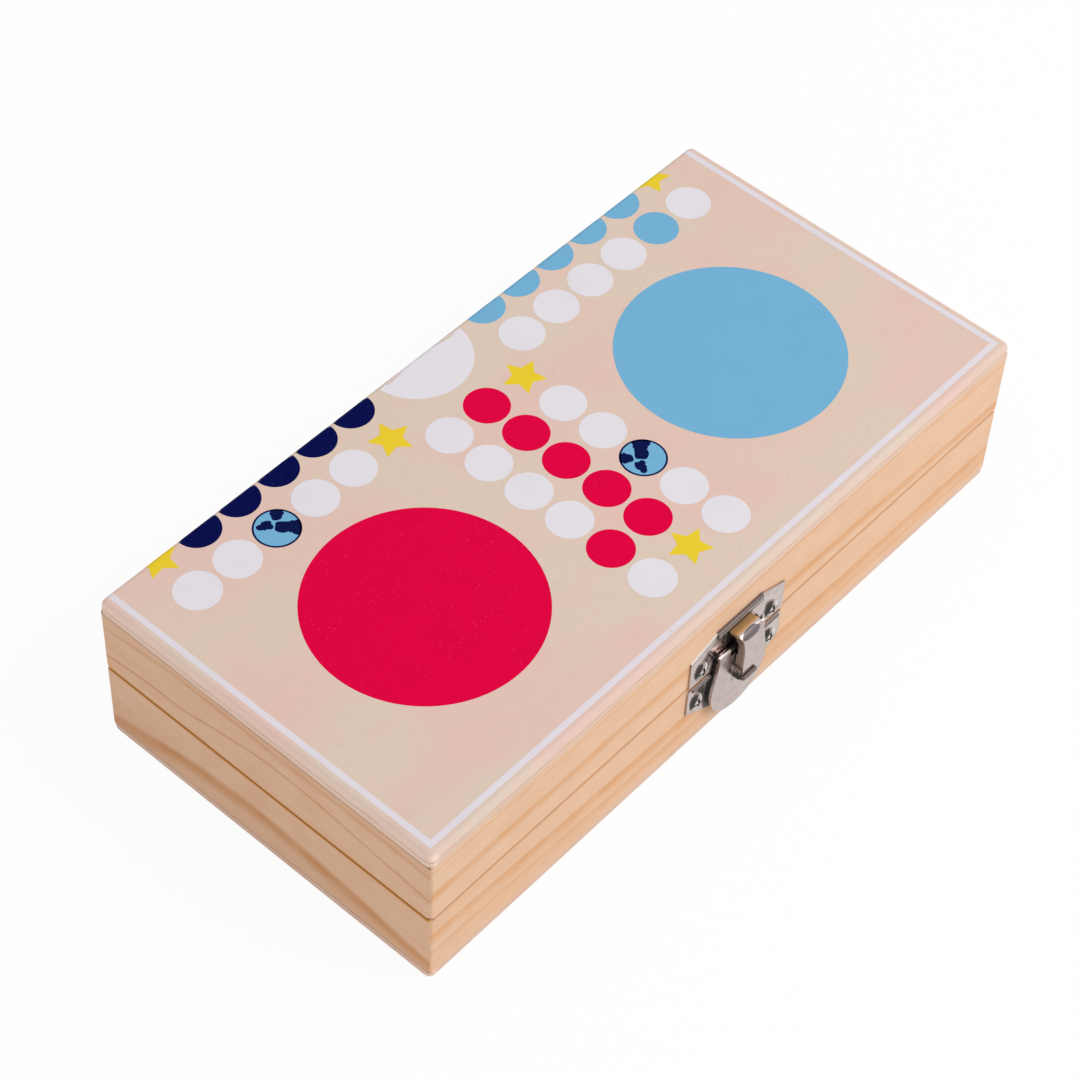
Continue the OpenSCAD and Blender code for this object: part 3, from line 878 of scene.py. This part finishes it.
@dataclass(frozen=True)
class Panel:
    """The outside of one printed panel, in mm.

    A point of the board has u along the fold, and v from the fold toward the edge.
    """

    half: Half

    def surface(self, u: np.ndarray, v: np.ndarray, lift: float) -> np.ndarray:
        """Points on the panel's outside, in metres.

        The fold's edge is rounded: within its radius of it, the face drops along a quarter
        circle, and lift is added square to the face.

        Args:
            u: Distance along the fold from the middle.
            v: Distance from the fold.
            lift: Height above the wood.

        Returns:
            The points, with one more axis than u.
        """
        edge_round = BOX.lid_round if self.half is Half.LID else BOX.base_round
        into = np.clip(edge_round - v, 0.0, edge_round)
        tilt = np.arcsin(np.clip(into / edge_round, 0.0, 1.0))
        y = BOX.width / 2.0 - v + lift * np.sin(tilt)
        drop = edge_round * (1.0 - np.cos(tilt)) - lift * np.cos(tilt)
        z = BOX.total - drop if self.half is Half.LID else drop
        return np.stack([u, y, z], axis=-1) * MM


@dataclass
class MeshKit:
    """Collects closed patches and makes them one object.

    Attributes:
        name: The object's name.
        points: The points of each patch.
        faces: Each patch's quads, counted over all points.
        count: How many points there are.
    """

    name: str
    points: list[np.ndarray] = field(default_factory=list)
    faces: list[np.ndarray] = field(default_factory=list)
    count: int = 0

    def add_grid(self, grid: np.ndarray, wrap: bool) -> None:
        """Adds the quads of a grid of points.

        Args:
            grid: Points as rows, columns and xyz.
            wrap: Whether the last column joins the first.
        """
        rows, cols = grid.shape[:2]
        index = np.arange(rows * cols).reshape(rows, cols)
        if wrap:
            index = np.concatenate([index, index[:, :1]], axis=1)
        quads = np.stack(
            [index[:-1, :-1], index[1:, :-1], index[1:, 1:], index[:-1, 1:]], axis=-1
        ).reshape(-1, 4)
        self.points.append(grid.reshape(-1, 3))
        self.faces.append(quads + self.count)
        self.count += rows * cols

    def make(self) -> bpy.types.Object:
        """Makes the object, with doubles merged and faces turned outward.

        Returns:
            The object, in the scene's collection.
        """
        mesh = bpy.data.meshes.new(self.name)
        faces = np.concatenate(self.faces)
        mesh.from_pydata(np.concatenate(self.points).tolist(), [], faces.tolist())
        work = bmesh.new()
        work.from_mesh(mesh)
        bmesh.ops.remove_doubles(work, verts=work.verts, dist=MERGE_M)
        bmesh.ops.dissolve_degenerate(work, edges=work.edges, dist=MERGE_M)
        bmesh.ops.recalc_face_normals(work, faces=work.faces)
        work.to_mesh(mesh)
        work.free()
        made = bpy.data.objects.new(self.name, mesh)
        bpy.context.scene.collection.objects.link(made)
        return made


def slim_bead(points: np.ndarray) -> np.ndarray:
    """Makes the base plate's rolled bead lower and narrower, and draws its outer ends in.

    What stands past the plate's face sinks to half its height. It narrows about the bead's
    axis by up to 0.4 of its width, on a ramp that is full 0.3 mm past the face, and stops
    1.6 mm before the plate's end.

    Args:
        points: The plate's points, in metres.

    Returns:
        The moved points.
    """
    face, axis_up, end = 0.6, -1.85, 18.4
    side, out = points[:, 0] / MM, -BOX.width / 2.0 - points[:, 1] / MM
    up = points[:, 2] / MM - BOX.parting
    bead = (out > face + 0.02) & (np.abs(up - axis_up) < 1.1) & (np.abs(side) > 9.0)
    narrow = 1.0 - 0.4 * np.clip((out - face) / 0.3, 0.0, 1.0)
    out = np.where(bead, face + (out - face) * 0.5, out)
    up = np.where(bead, axis_up + (up - axis_up) * narrow, up)
    side = np.where(bead, np.clip(side, -end, end), side)
    return np.stack([side, -BOX.width / 2.0 - out, up + BOX.parting], axis=-1) * MM


def disc_radius(angle: np.ndarray) -> np.ndarray:
    """Radius of a round dot: 1 all the way."""
    return np.ones_like(angle)


def star_radius(angle: np.ndarray) -> np.ndarray:
    """Radius of a five-pointed star with its first tip at angle 0 and tips at 1.

    Within each tenth of a turn the edge is a straight line from a tip to an inner corner,
    whose radius is half a tip's, so the arms are fuller than a pentagram's.

    Args:
        angle: Angles round the star.

    Returns:
        The radius at each.
    """
    inner = 0.5
    tenth = math.pi / 5.0
    off = np.abs((angle + tenth) % (2.0 * tenth) - tenth)
    return inner * math.sin(tenth) / (
        np.sin(off) * (1.0 - inner * math.cos(tenth)) + inner * math.sin(tenth) * np.cos(off)
    )


def land_radius(waves: Sequence[tuple[float, float, float]]) -> RadiusOf:
    """Radius of a piece of land: 1 with a few waves round it.

    Args:
        waves: Number, size and phase of each wave.

    Returns:
        A function of the angle.
    """

    def radius(angle: np.ndarray) -> np.ndarray:
        """Adds the waves to 1.

        Args:
            angle: Angles round the land.

        Returns:
            The radius at each.
        """
        out = np.ones_like(angle)
        for number, size, phase in waves:
            out = out + size * np.cos(number * angle + phase)
        return out

    return radius


@dataclass(frozen=True)
class Arm:
    """One arm of the track.

    Attributes:
        paint: Its own colour.
        east: Its direction along the fold.
        south: Its direction away from the fold, toward the latch.
        drift: How far the screen was off along the fold and away from it, in mm.
    """

    paint: str
    east: float
    south: float
    drift: tuple[float, float] = (0.0, 0.3)


@dataclass(frozen=True)
class BoardPrint:
    """The traditional cross-shaped track, in mm, as thin films of paint.

    Attributes:
        half: Which half of the board this is.
        pitch: Distance between neighbouring dots.
        dot: Radius of a dot.
        home: Radius of a home circle.
        home_at: Distance of a home circle's middle from both middle lines.
        middle: Radius of the white circle in the board's middle.
        middle_at: Its place along the fold and from it, as the screen left it.
        first: Distance of an arm's first dot from the middle.
        column: Distance of an arm's outer columns from its middle one.
        star: Radius of a star's tips.
        margin: Distance of the border's middle from the board's edges.
        border: Width of the border.
        film: Thickness of the paint.
        near: How near the fold the paint ends.
        outline: Width of a globe's dark ring.
        raised: Height of the land and the ring, in thicknesses of paint.
        round_points: Points round a dot.
        home_points: Points round a home circle.
        star_points: Points round a star.
        land_points: Points round a piece of land.
        rows: Rows of points from the middle of a film to its edge, away from the fold.
        fold_rows: The least number of them over the fold's rounded wood.
        rows_per_mm: Rows for each mm of its size there.
        bend: How far from the fold the border needs close rows.
        bend_rows: How many.
    """

    half: Half
    pitch: float = 14.8
    dot: float = 6.75
    home: float = 33.6
    home_at: tuple[float, float] = (63.6, 63.4)
    middle: float = 16.6
    middle_at: tuple[float, float] = (0.3, 0.0)
    first: float = 27.2
    column: float = 15.4
    star: float = 6.7
    margin: float = 3.5
    border: float = 1.85
    film: float = 0.03
    near: float = 0.35
    outline: float = 0.5
    raised: float = 1.6
    round_points: int = 64
    home_points: int = 96
    star_points: int = 120
    land_points: int = 72
    rows: int = 3
    fold_rows: int = 14
    rows_per_mm: float = 2.6
    bend: float = 4.0
    bend_rows: int = 10

    def build(self) -> dict[str, MeshKit]:
        """Lays out this half's paint.

        Returns:
            The films of each colour.
        """
        kits = {
            paint: MeshKit(f"{self.half.value}_print_{paint}")
            for paint in ("crimson", "sky", "navy", "yellow", "white", "border", "land")
        }
        homes = {
            Half.LID: {"crimson": -1.0, "sky": 1.0},
            Half.BASE: {"navy": -1.0, "yellow": 1.0},
        }[self.half]
        for paint, side in homes.items():
            u, v = side * self.home_at[0], self.home_at[1]
            self._patch(kits[paint], u, v, self.home, disc_radius, self.home_points)
        self._patch(kits["white"], *self.middle_at, self.middle, disc_radius, self.round_points)
        arms = {
            Half.LID: (
                Arm("crimson", 0.0, 1.0, (0.1, 0.2)),
                Arm("sky", 1.0, 0.0, (0.4, 0.45)),
                Arm("navy", -1.0, 0.0, (-0.2, 1.15)),
            ),
            Half.BASE: (
                Arm("yellow", 0.0, -1.0), Arm("sky", 1.0, 0.0), Arm("navy", -1.0, 0.0),
            ),
        }[self.half]
        for arm in arms:
            self._arm(kits, arm)
        self._border(kits["border"])
        return {paint: kit for paint, kit in kits.items() if kit.count}

    def _arm(self, kits: dict[str, MeshKit], arm: Arm) -> None:
        """Lays out one arm, walking outward: its middle column, then right and left.

        Args:
            kits: The films by colour.
            arm: The arm.
        """
        right = ("white", "white", "white", "white", arm.paint, "white")
        left = ("star", "white", "white", "globe", "white", "white")
        middle = (arm.paint,) * 5 + ("star",)
        for side, column in ((0.0, middle), (1.0, right), (-1.0, left)):
            for step, mark in enumerate(column):
                out = self.first + step * self.pitch
                aside = side * self.column
                u = out * arm.east - aside * arm.south + arm.drift[0]
                v = out * arm.south + aside * arm.east
                if self.half is Half.BASE:
                    v = -v
                if v < -1.0:
                    continue  # it lies on the other half
                south = -arm.south if self.half is Half.LID else arm.south
                self._mark(kits, mark, u, v + arm.drift[1], math.atan2(south, -arm.east))

    def _mark(self, kits: dict[str, MeshKit], mark: str, u: float, v: float, toward: float) -> None:
        """Adds one cell of the track.

        Args:
            kits: The films by colour.
            mark: A colour for a dot, or star, or globe.
            u: Its middle along the fold.
            v: Its middle from the fold.
            toward: The angle of the way to the board's middle.
        """
        if mark == "star":
            self._patch(kits["yellow"], u, v, self.star, star_radius, self.star_points, toward)
        elif mark == "globe":
            self._patch(kits["sky"], u, v, self.dot, disc_radius, self.round_points)
            self._ring(kits["land"], u, v)
            for land in LANDS:
                along, aside = self.dot * land.along, self.dot * land.aside
                cu = u + along * math.cos(toward) - aside * math.sin(toward)
                cv = v + along * math.sin(toward) + aside * math.cos(toward)
                within = (u, v, self.dot - 0.1)
                size, coast = self.dot * land.size, land_radius(land.waves)
                self._patch(
                    kits["land"], cu, cv, size, coast, self.land_points, toward, self.raised, within
                )
        else:
            self._patch(kits[mark], u, v, self.dot, disc_radius, self.round_points)

    def _patch(
        self,
        kit: MeshKit,
        u: float,
        v: float,
        size: float,
        radius: RadiusOf,
        segments: int,
        turn: float = 0.0,
        lift: float = 1.0,
        within: tuple[float, float, float] | None = None,
    ) -> None:
        """Adds one closed film, cut off at the fold.

        A point at share s from the middle and angle a lies at size * s * radius(a - turn).
        What would lie beyond the fold, or outside the circle, is pulled back to its edge.

        Args:
            kit: Where it goes.
            u: Its middle along the fold.
            v: Its middle from the fold.
            size: Its largest radius.
            radius: Its outline, as a share of size at each angle.
            segments: Points round it.
            turn: Its turn in the board's plane.
            lift: Its height, in thicknesses of paint.
            within: Middle and radius of a circle that it stays in.
        """
        angle = np.linspace(0.0, 2.0 * math.pi, segments, endpoint=False)
        reach = size * radius(angle - turn)
        on_fold = v - size < self.near
        if on_fold:
            room = max(v - self.near, 0.0) / np.maximum(-np.sin(angle), TINY)
            reach = np.where(np.sin(angle) < 0.0, np.minimum(reach, room), reach)
        close = max(self.fold_rows, round(size * self.rows_per_mm))
        shares = np.linspace(0.0, 1.0, close if on_fold else self.rows)
        grid_u = u + shares[:, None] * (reach * np.cos(angle))[None, :]
        grid_v = v + shares[:, None] * (reach * np.sin(angle))[None, :]
        if within is not None:
            far = np.hypot(grid_u - within[0], grid_v - within[1])
            pull = np.minimum(1.0, within[2] / np.maximum(far, TINY))
            grid_u = within[0] + (grid_u - within[0]) * pull
            grid_v = within[1] + (grid_v - within[1]) * pull
        grid_v = np.maximum(grid_v, self.near)
        panel = Panel(self.half)
        top = panel.surface(grid_u, grid_v, self.film * lift)
        low = panel.surface(grid_u, grid_v, 0.0)
        kit.add_grid(np.concatenate([top, low[::-1]]), wrap=True)

    def _ring(self, kit: MeshKit, u: float, v: float) -> None:
        """Adds a globe's dark outline: a square section carried round the dot's edge.

        Args:
            kit: Where it goes.
            u: Its middle along the fold.
            v: Its middle from the fold.
        """
        angle = np.linspace(0.0, 2.0 * math.pi, self.round_points, endpoint=False)
        panel = Panel(self.half)
        inner, outer = self.dot - self.outline, self.dot + 0.05
        high = self.film * self.raised
        walk = ((inner, 0.0), (inner, high), (outer, high), (outer, 0.0), (inner, 0.0))
        rows = [
            panel.surface(u + reach * np.cos(angle), v + reach * np.sin(angle), lift)
            for reach, lift in walk
        ]
        kit.add_grid(np.stack(rows), wrap=True)

    def _border(self, kit: MeshKit) -> None:
        """Adds the border: a flat strip along the three outer edges, mitred at two corners.

        Its middle line runs from the fold along one side, across the far edge and back along
        the other side. The two edges lie half a border's width within and outside it.

        Args:
            kit: Where it goes.
        """
        far, low = BOX.length / 2.0 - self.margin, BOX.width - self.margin
        half = self.border / 2.0
        leg = np.append(np.linspace(self.near, self.bend, self.bend_rows), low)
        side = np.repeat([-1.0, 1.0], len(leg))
        v = np.concatenate([leg, leg[::-1]])
        mitre = np.where(v == low, half, 0.0)
        inner, outer = (side * (far - half), v - mitre), (side * (far + half), v + mitre)
        panel = Panel(self.half)
        walk = ((inner, 0.0), (inner, 1.0), (outer, 1.0), (outer, 0.0), (inner, 0.0))
        section = [panel.surface(*line, self.film * lift) for line, lift in walk]
        kit.add_grid(np.stack(section), wrap=False)
        for end in (0, -1):
            cap = [[section[0][end], section[3][end]], [section[1][end], section[2][end]]]
            kit.add_grid(np.array(cap), wrap=False)


@dataclass(frozen=True)
class Land:
    """A made-up piece of land on a globe.

    Attributes:
        along: Its middle toward the board's middle, as a share of the globe's radius.
        aside: Its middle square to that, as a share of the globe's radius.
        size: Its radius, as a share of the globe's radius.
        waves: Number, size and phase of each wave of its coast.
    """

    along: float
    aside: float
    size: float
    waves: tuple[tuple[float, float, float], ...]


LANDS = (
    Land(0.66, -0.66, 0.38, ((2, 0.36, 1.4), (5, 0.07, 0.4), (9, 0.05, 1.0))),
    Land(
        0.42, 0.42, 0.47,
        ((1, 0.18, 0.8), (2, 0.34, -1.7), (3, 0.16, 0.5), (7, 0.06, 0.3), (11, 0.04, 2.0)),
    ),
    Land(-0.24, -0.42, 0.28, ((2, 0.2, -0.9), (3, 0.14, 2.2), (5, 0.09, 0.6), (8, 0.04, 0.0))),
)


# The object -------------------------------------------------------------------------------


def coat(node: str, material: bpy.types.Material) -> None:
    """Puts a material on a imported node, in every slot it has.

    Args:
        node: The node's name.
        material: Its finish.
    """
    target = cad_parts[node]
    if not target.material_slots:
        target.data.materials.append(material)
    for slot in target.material_slots:
        slot.material = material


@dataclass
class WoodWork:
    """The two trays' rails and panels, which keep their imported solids.

    Attributes:
        front, left, hidden: The look of each side, the last for the back and the right.
        lid_front, base_front, lid_left, base_left: The streaks that the photograph shows.
        lid_other, base_other: Those of the back and the right.
    """

    front: SideLook = SideLook(0.12, 0.5, srgb(170, 108, 58), 0.1, late=srgb(216, 152, 94))
    left: SideLook = SideLook(
        0.7, 0.75, srgb(170, 104, 34), 0.8,
        pale=srgb(234, 192, 159), warm=srgb(227, 174, 132), late=srgb(206, 138, 78),
    )
    hidden: SideLook = SideLook(0.4, 0.8, srgb(120, 72, 34), 0.2)
    lid_front: tuple[Streak, ...] = (
        Streak((39.2, 38.8, 38.2, 37.6, 37.0, 35.2, 34.0, 32.8, 31.6), 2.2, 3.8, 0.62),
        Streak((49.6, 49.4, 49.1, 49.4, 50.6, 51.0, 51.0, 50.0, 48.6), 0.5, 0.9, 0.45),
    )
    base_front: tuple[Streak, ...] = (
        Streak((21.0, 19.2, 17.4, 15.8, 15.0, 14.4, 13.4, 12.8, 12.2), 1.2, 6.4, 0.62),
        Streak((13.2, 11.8, 10.2, 9.2, 8.6, 8.2, 7.6, 7.2, 6.8), 1.4, 3.0, 0.3),
    )
    lid_left: tuple[Streak, ...] = (
        Streak((36.8, 38.6, 40.4, 41.8, 41.6, 39.0, 35.8, 35.2, 33.0), 0.9, 0.8, 0.7),
        Streak((47.6, 48.0, 48.2, 48.2, 48.4, 49.0, 48.8, 47.4, 45.2), 1.4, 1.6, 0.4),
    )
    base_left: tuple[Streak, ...] = (
        Streak((7.2, 9.6, 12.2, 13.8, 14.8, 14.2, 12.2, 8.8, 5.0), 3.2, 6.4, 0.78),
    )
    lid_other: tuple[Streak, ...] = (
        Streak((44.0, 43.4, 42.0, 41.2, 41.6, 42.4, 42.0, 40.6, 39.8), 1.6, 3.0, 0.5),
        Streak((34.0, 34.6, 35.0, 34.2, 33.4, 33.0, 33.8, 34.4, 34.0), 0.8, 1.2, 0.4),
    )
    base_other: tuple[Streak, ...] = (
        Streak((18.0, 17.2, 16.8, 17.6, 18.8, 19.0, 18.2, 16.8, 15.6), 1.4, 3.6, 0.55),
        Streak((9.0, 8.6, 9.2, 10.0, 9.8, 8.8, 8.0, 7.8, 8.2), 0.8, 1.4, 0.4),
    )

    def dress(self) -> None:
        """Gives every rail and panel its finish."""
        places = {
            "front": (Grain.ALONG_X, self.front, self.lid_front, self.base_front),
            "back": (Grain.ALONG_X, self.hidden, self.lid_other, self.base_other),
            "left": (Grain.ALONG_Y, self.left, self.lid_left, self.base_left),
            "right": (Grain.ALONG_Y, self.hidden, self.lid_other, self.base_other),
        }
        for number, (half, place) in enumerate(product(Half, places)):
            grain, look, lid_streaks, base_streaks = places[place]
            streaks = lid_streaks if half is Half.LID else base_streaks
            node = f"{half.value}_rail_{place}"
            finish = PineFinish(f"pine_{node}", half, grain, SEED_STEP * number, look, streaks)
            coat(node, finish.build())
            LOG.info("wood: %s finished", node)
        for half, seed in ((Half.LID, 0.3), (Half.BASE, 0.9)):
            coat(f"{half.value}_panel", PlyFinish(half, seed).build())
            LOG.info("wood: %s_panel finished", half.value)


@dataclass
class PrintWork:
    """The paint on both halves.

    Attributes:
        white, lilac, land: The dots' white, the border, and the globes' land and rings.
    """

    white: Colour = srgb(225, 220, 226)
    lilac: Colour = srgb(223, 215, 222)
    land: Colour = srgb(7, 18, 70)

    def dress(self) -> None:
        """Makes and rides every film."""
        pale = srgb(236, 232, 236)
        paints = {
            "crimson": InkFinish("ink_crimson", srgb(221, 0, 64), srgb(236, 56, 110), 0.55),
            "sky": InkFinish("ink_sky", srgb(115, 175, 210), srgb(160, 200, 222), 0.35, 0.45),
            "navy": InkFinish("ink_navy", srgb(3, 9, 72), srgb(60, 80, 130), 0.25),
            "yellow": InkFinish("ink_yellow", srgb(232, 202, 50), srgb(240, 222, 130), 0.25),
            "white": InkFinish("ink_white", self.white, pale, 0.3, 0.12),
            "border": InkFinish("ink_border", self.lilac, pale, 0.3, 0.12, 0.5),
            "land": InkFinish("ink_land", self.land, srgb(60, 80, 130), 0.1),
        }
        finishes = {paint: finish.build() for paint, finish in paints.items()}
        for half in Half:
            for paint, kit in BoardPrint(half).build().items():
                film = kit.make()
                film.data.materials.append(finishes[paint])
                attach(film, half.value)
                LOG.info("print: %s with %d points", film.name, len(film.data.vertices))


@dataclass
class LatchWork:
    """The toggle latch and the hinges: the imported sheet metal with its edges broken.

    Attributes:
        edge: Width of a broken edge, in mm.
        smooth_deg: Edges that turn less than this are smooth.
    """

    edge: float = 0.07
    smooth_deg: float = 32.0

    def dress(self) -> None:
        """Softens the sheet-metal nodes and gives every metal piece its finish."""
        plate = PlateFinish("nickel_plates").build()
        pale, dull = srgb(214, 208, 204), srgb(150, 138, 130)
        upper = ScrewFinish("nickel_keeper_screws", pale, dull, 0.08)
        lower = ScrewFinish("nickel_base_screws", pale, dull, 0.08, at_side=15.7, at_up=-9.2)
        sheet = {
            "latch_keeper_plate": ("lid", plate, "nickel"),
            "latch_base_plate": ("base", plate, "nickel"),
            "latch_lever": ("lever", LeverFinish("nickel_lever", rough=0.22).build(), "nickel"),
            "latch_strap": ("strap", StrapFinish("nickel_strap").build(), "nickel"),
            "keeper_screws": ("lid", upper.build(), "nickel_screws"),
            "latch_base_screws": ("base", lower.build(), "nickel_screws"),
        }
        for node, (body, material, slot) in sheet.items():
            self._soften(node, body, material)
        drawn = MetalFinish("drawn_steel", srgb(160, 160, 162), srgb(120, 118, 116), 0.3, 0.1)
        hinge = MetalFinish("hinge_steel", srgb(186, 182, 176), srgb(150, 144, 138), 0.26, 0.1)
        # painted shade: the strap's pin gets dark, rough steel so that it reads as the shade in the
        # lever's window
        wear_and_shade = MetalFinish("shaded_pin_steel", srgb(96, 88, 84), srgb(70, 62, 58), 0.4, 0.1)
        pins = ("latch_pivot_pin", "hinge_left_pin", "hinge_right_pin")
        sides = product(("left", "right"), Half)
        leaves = tuple(f"hinge_{side}_{half.value}_leaf" for side, half in sides)
        for finish, nodes in (
            (drawn, pins + ("lid_hinge_screws", "base_hinge_screws")),
            (hinge, leaves),
            (wear_and_shade, ("latch_strap_pin",)),
        ):
            steel = finish.build()
            for node in nodes:
                coat(node, steel)
                LOG.info("steel: %s finished", node)

    def _soften(self, node: str, body: str, material: bpy.types.Material) -> None:
        """Replaces a node by a copy of it with merged points and small rounded edges.

        Args:
            node: The node's name.
            body: The body that carries it.
            material: Its finish.
        """
        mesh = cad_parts[node].data.copy()
        mesh.name = f"{node}_soft"
        if node == "latch_base_plate":
            points = np.empty(len(mesh.vertices) * 3)
            mesh.vertices.foreach_get("co", points)
            mesh.vertices.foreach_set("co", slim_bead(points.reshape(-1, 3)).ravel())
        work = bmesh.new()
        work.from_mesh(mesh)
        bmesh.ops.remove_doubles(work, verts=work.verts, dist=CAD_MERGE_M)
        work.to_mesh(mesh)
        work.free()
        mesh.materials.clear()
        mesh.materials.append(material)
        made = bpy.data.objects.new(f"{node}_soft", mesh)
        bpy.context.scene.collection.objects.link(made)
        mesh.polygons.foreach_set("use_smooth", np.ones(len(mesh.polygons), bool))
        mesh.set_sharp_from_angle(angle=math.radians(self.smooth_deg))
        bevel = made.modifiers.new("broken_edges", "BEVEL")
        bevel.width = self.edge * MM
        bevel.segments = 2
        bevel.limit_method = "ANGLE"
        bevel.angle_limit = math.radians(self.smooth_deg)
        bevel.use_clamp_overlap = True
        bevel.harden_normals = True
        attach(made, body)
        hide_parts(node)
        LOG.info("latch: %s softened, %d points", node, len(mesh.vertices))


# Studio -----------------------------------------------------------------------------------


@dataclass(frozen=True)
class Camera:
    """The photograph's camera, found from the box's corners and its print.

    Attributes:
        place: Where it stands, in metres.
        right: Its right in the frame.
        down: Its down in the frame.
        focal_px: Focal length in pixels of the 1080 pixel image.
    """

    place: Point = (-0.43126, -0.34339, 0.68276)
    right: Point = (0.66562, -0.74549, 0.03453)
    down: Point = (-0.55781, -0.52772, -0.64059)
    focal_px: float = 3035.0

    def build(self) -> None:
        """Makes the camera and gives it to the scene."""
        data = bpy.data.cameras.new("camera")
        data.sensor_width = 36.0
        data.sensor_fit = "HORIZONTAL"
        data.lens = self.focal_px / IMAGE_PX * data.sensor_width
        data.clip_start = 0.01
        data.clip_end = 20.0
        right = Vector(self.right).normalized()
        up = (-Vector(self.down)).normalized()
        back = right.cross(up).normalized()
        up = back.cross(right).normalized()
        made = bpy.data.objects.new("camera", data)
        bpy.context.scene.collection.objects.link(made)
        turn = Matrix((right, up, back)).transposed().to_4x4()
        made.matrix_world = Matrix.Translation(self.place) @ turn
        bpy.context.scene.camera = made


@dataclass(frozen=True)
class Lamp:
    """A soft square lamp that looks at the box.

    Attributes:
        name: Its name.
        place: Where it hangs, in metres.
        size: Its side, in metres.
        watts: Its power.
    """

    name: str
    place: Point
    size: float
    watts: float

    def build(self) -> None:
        """Makes the lamp."""
        data = bpy.data.lights.new(self.name, "AREA")
        data.shape = "SQUARE"
        data.size = self.size
        data.energy = self.watts
        made = bpy.data.objects.new(self.name, data)
        bpy.context.scene.collection.objects.link(made)
        aim = Vector(BOX_MIDDLE) - Vector(self.place)
        turn = aim.to_track_quat("-Z", "Y").to_matrix().to_4x4()
        made.matrix_world = Matrix.Translation(self.place) @ turn


@dataclass
class Studio:
    """Pale floor, soft lamps and a white surround.

    Attributes:
        lamps: The lamps.
        sky_level: Strength of the even light from all round.
        floor_show: Share of plain white in the floor where it is looked at, 0 to 1.
        floor_reach: Distance of the floor's edges from the box, in metres.
        floor_drop: How far the floor lies below the box, in metres.
    """

    lamps: tuple[Lamp, ...] = (
        Lamp("key_lamp", (0.55, -0.95, 1.15), 0.9, 13.4),
        Lamp("top_lamp", (-0.35, 0.35, 1.3), 1.1, 2.1),
    )
    sky_level: float = 0.57
    floor_show: float = 0.93
    floor_reach: float = 3.0
    floor_drop: float = 0.0002

    def build(self) -> None:
        """Makes the floor, the lamps, the surround and the camera."""
        bpy.context.scene.view_settings.view_transform = "Standard"
        for lamp in self.lamps:
            lamp.build()
        self._floor()
        self._surround()
        Camera().build()

    def _floor(self) -> None:
        """A wide pale sheet: seen directly it is mostly plain white, with a faint shadow."""
        signs = ((-1.0, -1.0), (1.0, -1.0), (1.0, 1.0), (-1.0, 1.0))
        corners = [(x * self.floor_reach, y * self.floor_reach, -self.floor_drop) for x, y in signs]
        sheet = bpy.data.meshes.new("floor")
        sheet.from_pydata(corners, [], [(0, 1, 2, 3)])
        floor = bpy.data.objects.new("floor", sheet)
        bpy.context.scene.collection.objects.link(floor)
        tree = ShaderTree("floor_paper")
        x, y, _ = tree.place()
        tone = tree.noise(tree.vector(x, y, 0.0), 3.0, 2.0)
        paper = tree.mix(tone, srgb(243, 243, 243), srgb(247, 247, 247))
        matte = tree.node("BsdfDiffuse", inputs={"Color": paper})
        glow = tree.node("Emission", inputs={"Color": (1.0, 1.0, 1.0), "Strength": 1.0})
        both = tree.node("MixShader", inputs={0: tree.seen() * self.floor_show, 1: matte, 2: glow})
        floor.data.materials.append(tree.finish(both))

    def _surround(self) -> None:
        """White where it is looked at, directly or in metal, and an even light for the rest."""
        tree = ShaderTree("surround", world=True)
        white = (1.0, 1.0, 1.0)
        light = tree.node("Background", inputs={"Color": white, "Strength": self.sky_level})
        shown = tree.node("Background", inputs={"Color": white, "Strength": 1.0})
        both = tree.node("MixShader", inputs={0: tree.seen(), 1: light, 2: shown})
        bpy.context.scene.world = tree.finish(both, "OutputWorld")


def main() -> None:
    logging.basicConfig(level=logging.INFO, format="%(name)s: %(message)s")
    Studio().build()
    WoodWork().dress()
    PrintWork().dress()
    LatchWork().dress()


if __name__ == "__main__":
    main()
